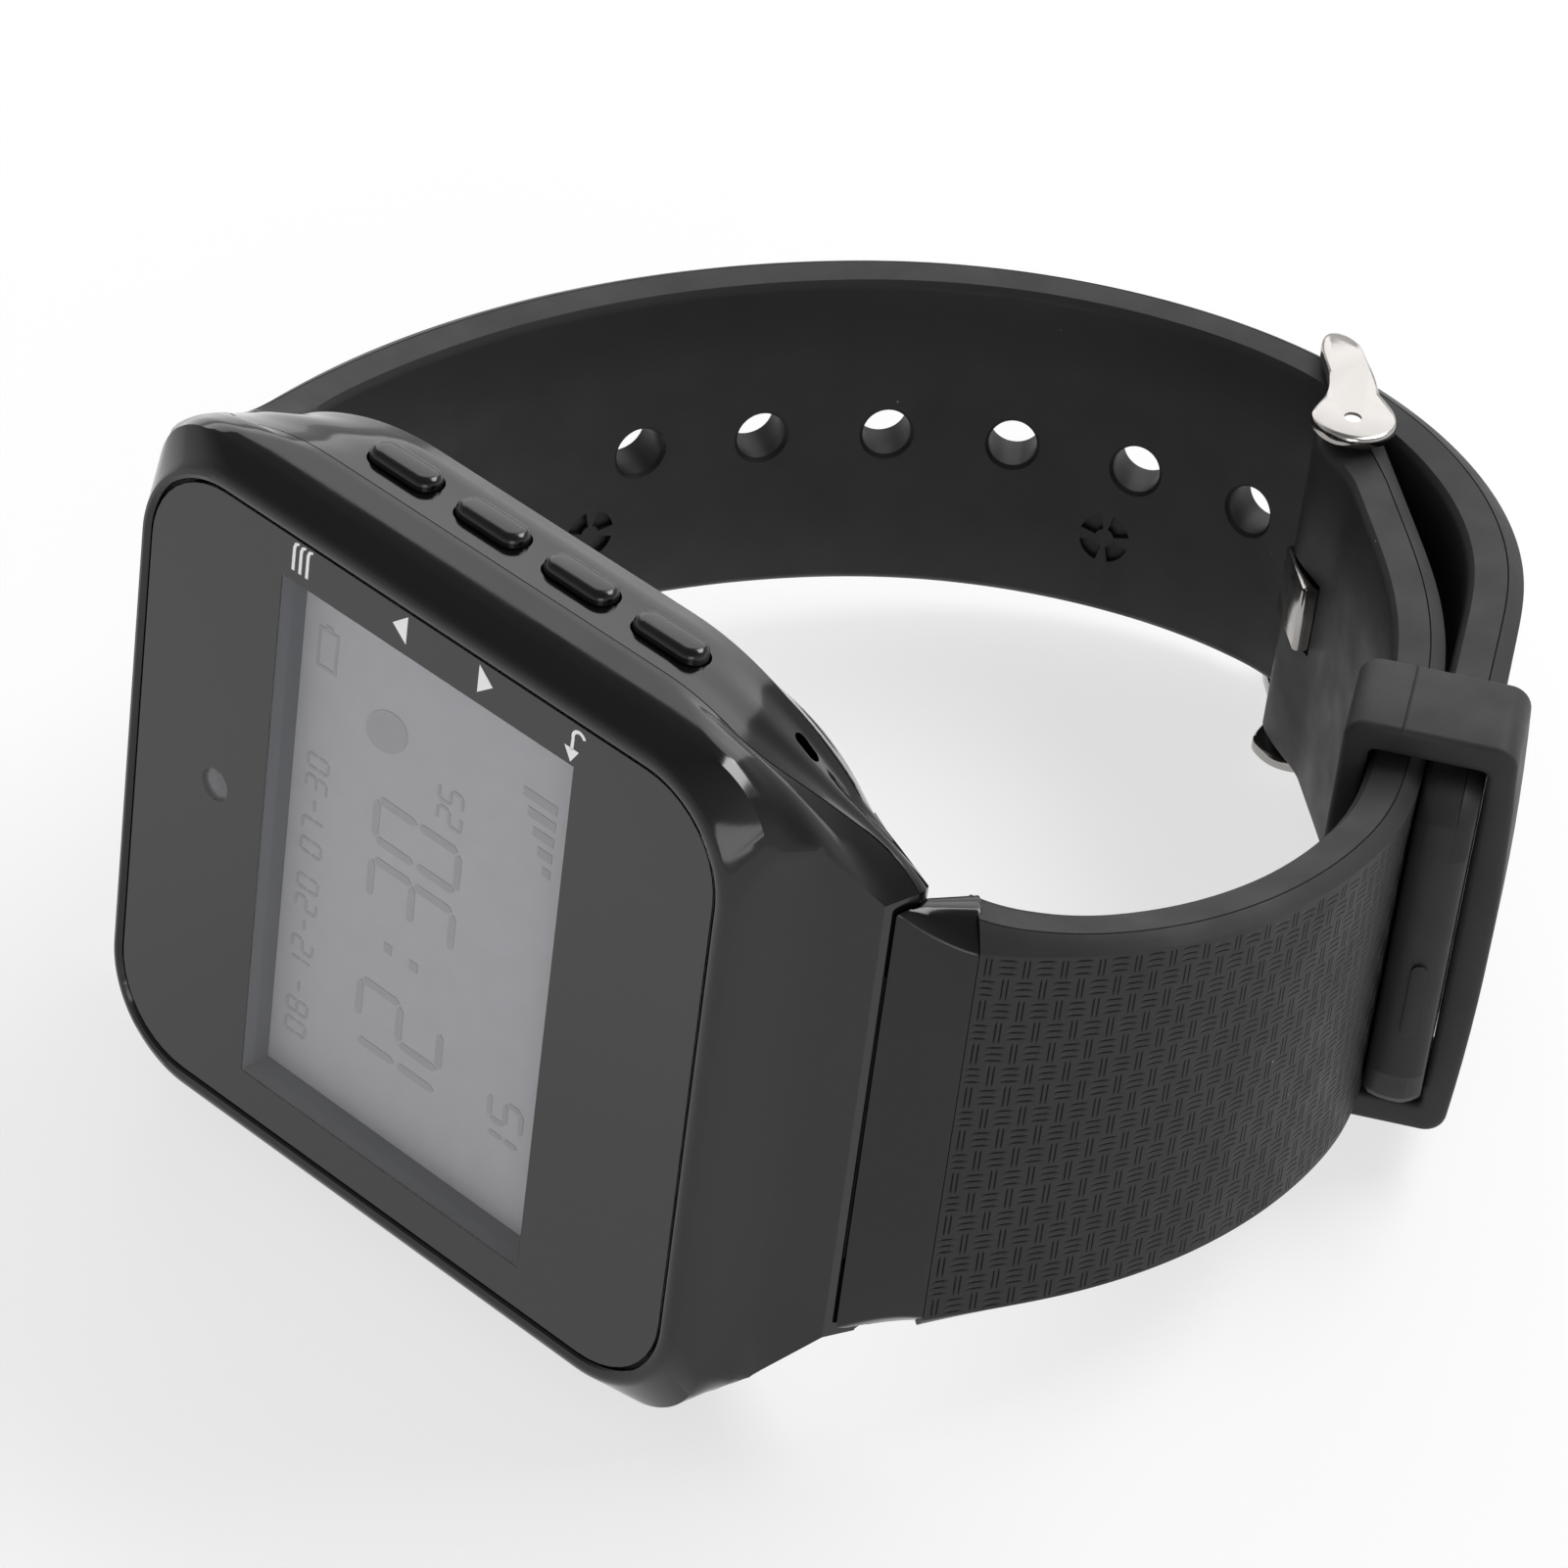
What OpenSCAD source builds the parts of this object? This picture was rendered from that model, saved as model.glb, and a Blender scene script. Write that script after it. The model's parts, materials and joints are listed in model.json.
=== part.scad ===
// Wrist pager: a square display unit on a two-piece rubber strap, closed as worn.
// Working frame of the modules: origin at the middle of the display glass, +X from
// 12 to 6 o'clock, +Y through the case towards the wrist, +Z towards the buttons.
// placed() lays the finished watch on a table, +Z up, origin under its middle.

/* [Case] */
// Half length of the display lip, 12 to 6 o'clock
lip_x = 21.4; // [21.2:0.1:21.6]
// Half width of the display lip, 9 to 3 o'clock
lip_z = 19.7; // [19.5:0.1:19.9]
// Half width of the case at its widest
case_z = 21; // [20.9:0.1:21.3]
// Depth of the parting line between the two shells
parting_y = 4; // [3.9:0.1:4.1]
// Depth of the back of the case
back_y = 11.8; // [11.7:0.1:12.2]
// Distance of each lug pin from the middle of the display
lug_x = 24.3; // [24.2:0.1:24.4]
// Depth of the lug pins
lug_y = 7.9; // [7.8:0.1:8]

/* [Display] */
// Half length of the cover glass
glass_x = 20.2; // [20:0.1:20.3]
// Half width of the cover glass
glass_z = 18.5; // [18.3:0.1:18.6]
// Thickness of the cover glass
glass_t = 1; // [0.9:0.1:1]
// Half length of the clear window in front of the LCD
window_x = 10.5; // [10:0.1:11]
// Half width of the clear window in front of the LCD
window_z = 16; // [15.5:0.1:16]

/* [Buttons] */
// Distance from one button to the next
button_pitch = 6.3; // [6.2:0.1:6.5]
// Length of a button cap
button_l = 4.35; // [4:0.05:4.6]
// Width of a button cap
button_w = 1.5; // [1.3:0.05:1.7]
// Height of a button cap above the case side
button_proud = 0.6; // [0.45:0.05:0.9]
// Travel of a button
button_travel = 0.4; // [0.2:0.1:0.4]

/* [Strap] */
// Thickness of both strap halves
strap_t = 2.9; // [2.8:0.1:2.9]
// Half width of the strap away from the case
strap_half = 10.1; // [9.9:0.1:10.2]
// Diameter of the adjustment holes
hole_d = 3; // [3:0.1:3.2]
// Distance between adjustment holes along the strap's outer face
hole_pitch = 7.9; // [7.8:0.1:8]
// Length of the keeper along the strap
keeper_l = 6.4; // [6:0.1:6.4]
// Wall thickness of the keeper
keeper_wall = 1.45; // [1.2:0.05:1.5]

/* [Buckle] */
// Radius of the spring bar in the buckle
bar_r = 0.75; // [0.7:0.05:0.75]
// Thickness of the buckle's ears
ear_t = 1; // [0.9:0.1:1]

/* [Hidden] */
$fn = 48;
slop = 0.05;
tilt = 8.8;
table_x = 3.48;
table_y = 33.52;
table_z = 21.967;

// case
slice = 0.02;
rest_y = 7.9;
rest_l = 1;
arc_steps = 7;
cavity_x = 19.6;
cavity_z = 18;
floor_y = 10.6;
seat_y = 1.3;
ledge_y = 2.4;
shell_gap = 0.05;
post_x = 16.2;
post_z = 13.6;
post_r = 2;
knuckle_r = 2.1;
knuckle_gap = 0.15;
cheek_z = 9.3;
tongue_z = 9;
tongue_r = 1.6;
lug_pin_r = 0.75;
pin_tip_r = 0.45;
pin_end_z = 12.3;

// display stack, in depth order
film_t = 0.12;
lcd_mid_x = -0.2;
lcd_x = 11.6;
lcd_z = 16.6;
lcd_front_y = 1.32;
lcd_back_y = 2.9;
light_back_y = 3.75;
board_y = 4.6;
board_t = 0.8;
parts_y = board_y + board_t;
led_x = -14.3;
led_z = 0.7;
led_r = 0.95;

// buttons, from 12 to 6 o'clock
button_y = 6.15;
button_x0 = -8.6;
button_xs = [for (i = [0:3]) button_x0 + i * button_pitch];
flange_z = 17.5;
flange_t = 0.45;

// strap routes: the outer faces as arcs, each [length, turn in degrees]
seam = [29.7, 9.4];
seam_inner = [27.1, 12];
droop = 38.5;
short_start = [seam[0], seam[1], 53, 0];
short_arcs = [[7, 11.5], [22, 44.5], [2.5, 13], [9.5, 0], [13.5, 20.5], [11.5, 0]];
long_heading = 105.5;
long_arcs = [[43.5, -50.5], [20.5, -33.5], [12.5, -27], [11, -25], [11, -27.5], [19.5, 0]];
tail_s = 118;
tail_corner = 6;
root_t = 0.9;
root_s = 8;
flare = 1.9;
flare_y = 10;
flare_run = 14;
keeper_s = 36.8;
layer_gap = 0.24;
keeper_clear = 0.12;
keeper_z = 10.75;
first_hole_s = 30.3;
bar = [9.1, 62.5];
strap_end_r = 1.95;
notch_z = 2.35;
ear_z = 10.4;

// ---- helpers ----------------------------------------------------------------

// Lays the watch on the table: on its 9 o'clock edge and the buckle's lower ear
module placed() {
    translate([-table_x, -table_y, table_z]) rotate([-tilt, 0, 0]) children();
}

// Extrudes an (X, Z) outline through the depths y0 to y1
module plate(y0, y1) {
    translate([0, y1, 0]) rotate([90, 0, 0]) linear_extrude(y1 - y0) children();
}

// Extrudes an (X, Y) outline over the widths z0 to z1
module across(z0, z1) {
    translate([0, 0, z0]) linear_extrude(z1 - z0) children();
}

// Rectangle of half sizes x and z with rounded corners
module rounded(x, z, r) {
    square([2 * (x - r), 2 * z], center = true);
    square([2 * x, 2 * (z - r)], center = true);
    for (sx = [-1, 1], sz = [-1, 1])
        translate([sx * (x - r), sz * (z - r)]) circle(r);
}

// Oblong with round ends, length l along X
module oblong(l, w) {
    square([l - w, w], center = true);
    for (s = [-1, 1])
        translate([s * (l - w) / 2, 0]) circle(d = w);
}

// Cylinder through the case from depth y0 to y1
module through(x, z, r, y0, y1) {
    translate([x, y0, z]) rotate([-90, 0, 0]) cylinder(h = y1 - y0, r = r);
}

// Cylinder along the loop's axis
module rod(x, y, r, z0, z1) {
    translate([x, y, z0]) cylinder(h = z1 - z0, r = r);
}

// One quarter of a case section: straight sides, then an arc of radius r that stops at x_end
function quarter(x_end, z_half, x_flat, r) =
    let (sweep = asin(min(1, (x_end - x_flat) / r)))
    [for (i = [0:arc_steps])
        let (a = sweep * i / arc_steps)
        [x_flat + r * sin(a), z_half - r + r * cos(a)]];

function reversed(list) = [for (i = [len(list) - 1:-1:0]) list[i]];

// A whole case section, with the quarter mirrored to all four corners
function section(x_end, z_half, x_flat, r) =
    let (q = quarter(x_end, z_half, x_flat, r), back = reversed(q))
    concat(q, [for (p = back) [p[0], -p[1]]],
        [for (p = q) [-p[0], -p[1]]], [for (p = back) [-p[0], p[1]]]);

// A thin slice of the case at depth y, to be joined to its neighbours by hull()
module case_slice(y, x_end, z_half, x_flat, r) {
    plate(y, y + slice) polygon(section(x_end, z_half, x_flat, r));
}

// A pose on a strap route is [x, y, heading, distance]
function moved(pose, length, turn) =
    let (half = turn / 2,
        chord = turn == 0 ? length : length * sin(half) * 180 / (PI * half))
    [pose[0] + chord * cos(pose[2] + half), pose[1] + chord * sin(pose[2] + half),
        pose[2] + turn, pose[3] + length];

// Poses about every 2 mm along a route of arcs
function route(start, arcs, i = 0) =
    i == len(arcs) ? [start] :
    let (n = ceil(arcs[i][0] / 2), last = moved(start, arcs[i][0], arcs[i][1]))
    concat([for (k = [0:n - 1]) moved(start, arcs[i][0] * k / n, arcs[i][1] * k / n)],
        route(last, arcs, i + 1));

// Pose at distance s along a route
function pose_at(start, arcs, s, i = 0) =
    i == len(arcs) - 1 || s <= start[3] + arcs[i][0]
    ? moved(start, s - start[3], arcs[i][1] * (s - start[3]) / arcs[i][0])
    : pose_at(moved(start, arcs[i][0], arcs[i][1]), arcs, s, i + 1);

// Point beside a pose, d to its left
function beside(pose, d) = [pose[0] - d * sin(pose[2]), pose[1] + d * cos(pose[2])];

// A point of the 6 o'clock link where the 12 o'clock link has it, swung down and mirrored
function hung(p) =
    let (x = p[0] - lug_x, y = p[1] - lug_y)
    [-lug_x - x * cos(droop) + y * sin(droop), lug_y + x * sin(droop) + y * cos(droop)];

long_start = [hung(seam)[0], hung(seam)[1], long_heading, 0];

// The strap is a little thicker where it meets its link
function thick(s) = strap_t + root_t * pow(max(0, 1 - s / root_s), 2);

// Half width of the strap at depth y: it flares towards the case
function flared(y) = strap_half + flare * exp((flare_y - y) / flare_run);

// Closed outline of a strap; side is +1 where the wrist is to the route's left
function strap_outline(poses, side, inner_start) =
    concat([for (p = poses) [p[0], p[1]]],
        reversed([for (p = poses) if (p[3] > 2) beside(p, side * thick(p[3]))]),
        [inner_start]);

// Everything within the strap's flared width
module flare_limit() {
    ys = [for (y = [5:5:75]) y];
    rotate([90, 0, 90])
        linear_extrude(100, center = true)
            polygon(concat([for (y = ys) [y, flared(y)]],
                [for (y = reversed(ys)) [y, -flared(y)]]));
}

// Places children at a pose: +X along the route, +Y to its left
module at_pose(pose) {
    translate([pose[0], pose[1], 0]) rotate([0, 0, pose[2]]) children();
}

// The links and lug recesses of the 12 o'clock end mirror those of the 6 o'clock end
module end_12() {
    mirror([1, 0, 0]) children();
}

// ---- case -------------------------------------------------------------------

// Outer skin of the whole case: slices at rising depths, then a narrow lug at each end
// A narrow flat on the side, from rest_y, lies on the table in the worn-side-down pose
module case_skin() {
    hull() {
        case_slice(-0.2, lip_x - 0.2, lip_z - 0.2, 15, 6.2);
        case_slice(0.1, lip_x, lip_z, 15, 6.4);
        case_slice(1.4, lip_x + 0.7, lip_z + 0.75, 17.6, 4.5);
        case_slice(parting_y, lip_x + 2.1, case_z - 0.15, 14, 13);
        case_slice(6.3, 21, case_z - 0.12, 10.5, 17);
        case_slice(rest_y, 21, case_z, 9, 17);
        case_slice(rest_y + rest_l, 21, case_z - rest_l * tan(tilt), 9, 17);
        case_slice(10.3, 21, case_z - 2, 10, 17);
        case_slice(back_y - slice, 20, 16.8, 13, 7);
        lug_slice(6.3, lug_x + 1.65, 13.8);
        lug_slice(lug_y, lug_x + knuckle_r, 13.9);
        lug_slice(9.3, lug_x + 1.6, 13.4);
        lug_slice(10, lug_x, 13);
    }
}

// A thin slice across both lugs at depth y
module lug_slice(y, x, z) {
    plate(y, y + slice) square([2 * x, 2 * z], center = true);
}

// Outline in (X, Y) of what lies in front of the parting line, or behind it:
// the line is level under the display and dips along the lugs
module parted(behind) {
    half = [[0, parting_y], [21.9, parting_y], [22.6, 5.9], [lug_x, 6.85], [26.9, 8.3], [30, 9.9]];
    shift = behind ? shell_gap : -shell_gap;
    far = behind ? 20 : -5;
    line = concat([for (p = reversed(half)) [-p[0], p[1] + shift]],
        [for (p = half) [p[0], p[1] + shift]]);
    across(-30, 30) polygon(concat(line, [[30, far], [-30, far]]));
}

module front_case() {
    color("#17171a")
    placed() {
        difference() {
            intersection() {
                case_skin();
                parted(false);
            }
            plate(-1, seat_y) rounded(glass_x + slop, glass_z + slop, 5.2);
            plate(seat_y - 1, parting_y) rounded(18, 17.3, 3);
            plate(ledge_y, parting_y + 1) rounded(cavity_x, cavity_z, 4);
            gasket_ring(0.8 + 2 * slop, 0.8);
            lug_recess();
            end_12() lug_recess();
        }
        difference() {
            for (sx = [-1, 1], sz = [-1, 1])
                through(sx * post_x, sz * post_z, post_r, ledge_y - 0.5, board_y + 0.5);
            for (sx = [-1, 1], sz = [-1, 1])
                through(sx * post_x, sz * post_z, 0.62, ledge_y, board_y + 1);
        }
    }
}

module rear_case() {
    color("#141417")
    placed()
        difference() {
            union() {
                difference() {
                    intersection() {
                        case_skin();
                        parted(true);
                    }
                    plate(0, floor_y) rounded(cavity_x, cavity_z, 4);
                    gasket_ring(0.8 + 2 * slop, 0.8);
                }
                for (sx = [-1, 1], sz = [-1, 1])
                    through(sx * post_x, sz * post_z, post_r, board_y + 0.6, back_y - 0.2);
            }
            for (x = button_xs)
                translate([x, button_y, cavity_z - 1])
                    linear_extrude(5) oblong(button_l + 0.25, button_w + 0.25);
            sound_port();
            lug_recess();
            end_12() lug_recess();
            for (sx = [-1, 1], sz = [-1, 1]) {
                through(sx * post_x, sz * post_z, 0.9, parting_y, back_y + 1);
                through(sx * post_x, sz * post_z, 1.7, back_y - 1.2, back_y + 1);
            }
            for (z = [-4, 4])
                through(0, z, 1.3, floor_y - 1, back_y + 1);
        }
}

// Slot for the strap link's tongue, open to the end and the back, with the pin's bores
module lug_recess() {
    across(-cheek_z, cheek_z) {
        translate([lug_x, lug_y]) circle(tongue_r + 0.35);
        polygon([[lug_x - 1.95, lug_y], [lug_x - 1.2, lug_y - 1.54], [lug_x + 1.2, lug_y - 1.54],
            [lug_x + 5, lug_y + 1.46], [lug_x + 5, 15], [lug_x - 1.95, 15]]);
    }
    rod(lug_x, lug_y, lug_pin_r + slop, -10.2, 10.2);
    rod(lug_x, lug_y, pin_tip_r + slop, -pin_end_z - 0.2, pin_end_z + 0.2);
}

// Small oblong port at the 6 o'clock corner, drilled slantwise into the cavity
module sound_port() {
    translate([16.5, 7, 16.8])
        rotate([0, 48, 0]) linear_extrude(8) oblong(1.7, 0.6);
}

// Ring that fills the sealing groove between the shells
module gasket_ring(w, h) {
    plate(parting_y - h / 2, parting_y + h / 2)
        difference() {
            rounded(21 + w / 2, 19.2 + w / 2, 5.8 + w / 2);
            rounded(21 - w / 2, 19.2 - w / 2, 5.8 - w / 2);
        }
}

module case_gasket() {
    color("#8a2f22") placed() gasket_ring(0.8, 0.76);
}

module case_screws() {
    color("silver")
    placed()
        for (sx = [-1, 1], sz = [-1, 1])
            difference() {
                union() {
                    through(sx * post_x, sz * post_z, 1.55, back_y - 1.15, back_y - 0.25);
                    through(sx * post_x, sz * post_z, 0.6, ledge_y + 0.3, back_y - 1);
                }
                for (turn = [0, 90])
                    translate([sx * post_x, back_y - 0.4, sz * post_z])
                        rotate([0, turn, 0]) cube([1.9, 0.5, 0.35], center = true);
            }
}

module charge_contacts() {
    color("#c9a44c")
    placed()
        for (z = [-4, 4]) {
            through(0, z, 1.27, floor_y - 0.2, back_y - 0.05);
            through(0, z, 1.7, floor_y - 0.3, floor_y - 0.02);
        }
}

// ---- display ----------------------------------------------------------------

module cover_glass() {
    color("#3a3a3d", 0.5) placed() plate(0, glass_t) rounded(glass_x, glass_z, 5.15);
}

module printed_film() {
    color("#1d1d1f")
    placed()
        plate(glass_t, glass_t + film_t)
            difference() {
                rounded(glass_x, glass_z, 5.15);
                translate([lcd_mid_x, 0]) square([2 * window_x, 2 * window_z], center = true);
                translate([led_x, led_z]) circle(led_r);
                key_outlines();
            }
}

// Menu bars, two arrow heads and a return arrow, each beside its button
module key_outlines() {
    for (i = [0:2])
        translate([-10.1 + i * 0.48, 16.7]) square([0.24, 1.7]);
    polygon([[-1.7, 18.3], [-2.7, 17.5], [-1.7, 16.7]]);
    polygon([[3.4, 18.3], [4.4, 17.5], [3.4, 16.7]]);
    polygon([[9.35, 17], [9.75, 16.3], [10.15, 17], [9.87, 17], [9.87, 18.1], [10.7, 18.1],
        [10.7, 17.2], [10.95, 17.2], [10.95, 18.35], [9.62, 18.35], [9.62, 17]]);
}

module key_symbols() {
    color("white") placed() plate(glass_t, glass_t + film_t) key_outlines();
}

module glass_adhesive() {
    color("#2a2a2a")
    placed()
        plate(glass_t + film_t, seat_y)
            difference() {
                rounded(glass_x - 0.1, glass_z - 0.1, 5);
                rounded(18.3, 17.4, 3.1);
            }
}

// Box centred on the LCD's middle, between two depths
module lcd_box(x, z, y0, y1) {
    translate([lcd_mid_x, 0, 0]) plate(y0, y1) square([2 * x, 2 * z], center = true);
}

module lcd_cell() {
    color("#9a9a9a") placed() lcd_box(lcd_x, lcd_z, lcd_front_y, lcd_back_y);
}

module lcd_backlight() {
    color("#e6e8e4")
    placed() lcd_box(lcd_x - 0.3, lcd_z - 0.3, lcd_back_y + 0.02, light_back_y);
}

// Open frame that holds the LCD and its light guide off the board
module lcd_holder() {
    color("#dcdcd6")
    placed()
        difference() {
            lcd_box(lcd_x + 0.9, lcd_z + 0.55, 1.5, board_y - 0.02);
            lcd_box(lcd_x + 0.1, lcd_z + 0.1, 1, light_back_y + 0.02);
            lcd_box(lcd_x - 1.5, lcd_z - 1.5, 1, board_y + 1);
            translate([10, 1, -7.2]) cube([5, 5, 14.4]);
        }
}

// Flat cable from the LCD's 6 o'clock edge down to the board
module lcd_flex() {
    color("#b8742c")
    placed()
        across(-7, 7)
            polygon([[11.42, 2.2], [13.6, 2.2], [13.6, board_y - 0.02], [13.4, board_y - 0.02],
                [13.4, 2.4], [11.42, 2.4]]);
}

module status_led() {
    color("#e8e4c8")
    placed()
        plate(board_y - 0.6, board_y) translate([led_x, led_z]) square(1.6, center = true);
}

module led_light_pipe() {
    color("#8d8f94")
    placed() through(led_x, led_z, led_r - 0.02, glass_t + film_t + 0.01, board_y - 0.62);
}

// ---- electronics ------------------------------------------------------------

module main_board() {
    color("#1f5a34")
    placed()
        plate(board_y, parts_y)
            difference() {
                rounded(19.2, 16.7, 2);
                for (sx = [-1, 1], sz = [-1, 1])
                    translate([sx * post_x, sz * post_z]) circle(post_r + 0.2);
            }
}

module tact_switches() {
    color("#c4c4c4")
    placed()
        for (x = button_xs) {
            translate([x - 2, parts_y, 14.2]) cube([4, 1.5, 2.3]);
            translate([x - 0.7, parts_y + 0.35, 16.4]) cube([1.4, 0.8, 0.65]);
        }
}

module radio_shield() {
    color("#b9bcc0")
    placed()
        difference() {
            translate([-12, parts_y, -10]) cube([14, 1.4, 16]);
            translate([-11.8, parts_y - 0.2, -9.8]) cube([13.6, 1.4, 15.6]);
        }
}

// Folded copper strip standing on the board's 9 o'clock edge
module antenna() {
    color("#b87333")
    placed()
        difference() {
            translate([-13, parts_y, -16.5]) cube([25, 4, 0.25]);
            for (i = [0:5])
                translate([-11 + 4 * i, parts_y + (i % 2 == 0 ? -0.5 : 1), -17]) cube([1, 3.5, 1]);
        }
}

module battery() {
    color("#aeb4bd")
    placed()
        translate([-2.7, 0, 0]) plate(parts_y + 1.7, floor_y - 0.3) rounded(11.2, 13.8, 1.2);
}

module vibration_motor() {
    color("#c0c0c4")
    placed() {
        through(13.2, -7, 4, parts_y, parts_y + 2.5);
        through(13.2, -7, 1.2, parts_y + 2.4, parts_y + 2.7);
    }
}

module buzzer() {
    color("#2b2b2e")
    placed()
        difference() {
            through(13.2, 3.5, 4, parts_y, parts_y + 2.6);
            through(13.2, 3.5, 0.6, parts_y + 1.4, parts_y + 3);
        }
}

// ---- buttons ----------------------------------------------------------------

// A cap with a domed top through the case side, on a flange that stops against the wall
module button(x) {
    dome_r = 1.25;
    top = case_z + button_proud;
    color("#1b1b1e")
    placed() {
        intersection() {
            translate([x, button_y, flange_z]) linear_extrude(5) oblong(button_l, button_w);
            union() {
                translate([x - 5, button_y - 5, 10]) cube([10, 10, top - dome_r - 10]);
                translate([x - 5, button_y, top - dome_r])
                    rotate([0, 90, 0]) cylinder(h = 10, r = dome_r);
            }
        }
        translate([x, button_y, flange_z]) linear_extrude(flange_t) oblong(5.4, 2.2);
    }
}

module button_menu() {
    button(button_xs[0]);
}

module button_up() {
    button(button_xs[1]);
}

module button_down() {
    button(button_xs[2]);
}

module button_back() {
    button(button_xs[3]);
}

// ---- strap ------------------------------------------------------------------

// Hard end piece of the strap: a tongue on the lug pin and a face flush with the case
module strap_link() {
    face_start = [25.9, 6.6];
    web = [[lug_x + 0.9, lug_y - 1.3], [27.6, lug_y + 0.85], seam_inner, [26.2, 11.3],
        [lug_x - 0.2, lug_y + 1.58]];
    color("#101012") {
        difference() {
            intersection() {
                across(-14, 14) polygon([face_start, seam, seam_inner, [26, 11.2]]);
                plate(5, 15) polygon([[25, 13.8], [26.4, 13.3], [seam[0], 11.8], [31, 11.8],
                    [31, -11.8], [seam[0], -11.8], [26.4, -13.3], [25, -13.8]]);
            }
            rod(lug_x, lug_y, knuckle_r + knuckle_gap, -15, 15);
        }
        difference() {
            across(-tongue_z, tongue_z) {
                translate([lug_x, lug_y]) circle(tongue_r);
                polygon(web);
            }
            rod(lug_x, lug_y, lug_pin_r + slop, -10, 10);
        }
    }
}

module strap_link_6() {
    placed() strap_link();
}

module strap_link_12() {
    placed() end_12() turned_about_lug() strap_link();
}

// The 12 o'clock half of the strap hangs more steeply than the 6 o'clock half
module turned_about_lug() {
    translate([lug_x, lug_y, 0]) rotate([0, 0, droop]) translate([-lug_x, -lug_y, 0]) children();
}

// Sprung bar that joins a link to the case: a tube with a thin tip at each end
module lug_pin() {
    color("silver") {
        rod(lug_x, lug_y, lug_pin_r, -10, 10);
        rod(lug_x, lug_y, pin_tip_r, -pin_end_z, pin_end_z);
    }
}

module lug_pin_6() {
    placed() lug_pin();
}

module lug_pin_12() {
    placed() end_12() lug_pin();
}

module strap_long() {
    poses = [for (p = route(long_start, long_arcs)) if (p[3] <= tail_s) p];
    color("#232324")
    placed()
        difference() {
            intersection() {
                across(-15, 15)
                    polygon(strap_outline(poses, -1, hung(seam_inner)));
                flare_limit();
            }
            for (i = [0:6])
                at_pose(pose_at(long_start, long_arcs, first_hole_s + i * hole_pitch))
                    translate([0, 1, 0]) rotate([90, 0, 0]) cylinder(h = strap_t + 2, d = hole_d);
            at_pose(poses[len(poses) - 1]) tail_corners();
        }
}

// Cuts that round the strap's free end
module tail_corners() {
    half = flared(42);
    for (s = [-1, 1])
        translate([0, 1, 0])
            rotate([90, 0, 0])
                linear_extrude(strap_t + 2)
                    difference() {
                        translate([-tail_corner / 2 + 1, s * (half - tail_corner / 2 + 1)])
                            square(tail_corner + 2, center = true);
                        translate([-tail_corner, s * (half - tail_corner)])
                            circle(tail_corner);
                        translate([-tail_corner - 2, s * (half - tail_corner)])
                            square([4, 2 * tail_corner + 1], center = true);
                        translate([0, s * (half - tail_corner - 2)])
                            square([2 * tail_corner, 4], center = true);
                    }
}

module strap_short() {
    poses = route(short_start, short_arcs);
    color("#232324")
    placed()
        difference() {
            union() {
                intersection() {
                    across(-15, 15) polygon(strap_outline(poses, 1, seam_inner));
                    flare_limit();
                }
                rod(bar[0], bar[1], strap_end_r, -flared(bar[1]), flared(bar[1]));
            }
            rod(bar[0], bar[1], bar_r, -15, 15);
            translate([bar[0], bar[1], 0])
                rotate([0, 0, short_start[2] + 89.5])
                    translate([-1.9, -4, -notch_z]) cube([8, 8, 2 * notch_z]);
        }
}

// Loose loop around both strap layers, square to the straight stretch it slides on
module keeper() {
    outer_face = -(layer_gap + strap_t) - keeper_clear;
    inner_face = strap_t + keeper_clear;
    mid = (outer_face + inner_face) / 2;
    half = (inner_face - outer_face) / 2;
    color("#2b2b2c")
    placed()
        at_pose(pose_at(short_start, short_arcs, keeper_s))
            translate([-keeper_l / 2, mid, 0])
                rotate([90, 0, 90])
                    linear_extrude(keeper_l)
                        difference() {
                            rounded(half + keeper_wall, keeper_z + keeper_wall, 1.5);
                            rounded(half, keeper_z, 0.4);
                        }
}

// ---- buckle -----------------------------------------------------------------

module buckle_bar() {
    color("silver")
    placed() {
        rod(bar[0], bar[1], bar_r, -ear_z + slop, ear_z - slop);
        rod(bar[0], bar[1], bar_r - 0.2, -ear_z - ear_t + 0.1, ear_z + ear_t - 0.1);
    }
}

// Outline of an ear: broad and round at the bar, narrow at the crossbar
module ear_outline() {
    translate([9.4, 61.6]) circle(2.75);
    translate([3.55, 68.05]) circle(1.25);
    polygon([[6.75, 60.9], [6.3, 63.2], [5.2, 65.2], [4, 66.4], [2.85, 67], [4, 69.25],
        [6, 68.3], [9, 66.4], [11.3, 64.2], [12.1, 62]]);
}

module buckle_frame() {
    color("#d8d2ce")
    placed()
        difference() {
            union() {
                across(ear_z, ear_z + ear_t) ear_outline();
                across(-ear_z - ear_t, -ear_z) ear_outline();
                across(-ear_z - ear_t / 2, ear_z + ear_t / 2)
                    translate([3.45, 68.87]) square([2.1, 0.86], center = true);
            }
            rod(bar[0], bar[1], bar_r - 0.15, -15, 15);
        }
}

// Tube on the bar, a neck through the strap's hole and a blade that lies on the crossbar
module buckle_prong() {
    tube_r = 1.3;
    neck_z = 0.9;
    color("#d8d2ce")
    placed()
        difference() {
            union() {
                rod(bar[0], bar[1], tube_r, -2.15, 2.15);
                across(-neck_z, neck_z)
                    polygon([[9.4, 63], [8.75, 68.9], [8.3, 69.8], [7.5, 70.15], [2.4, 70.2],
                        [2.2, 69.4], [7.3, 69.35], [7.75, 68.9], [7.95, 63]]);
            }
            rod(bar[0], bar[1], bar_r + slop, -5, 5);
        }
}

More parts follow.
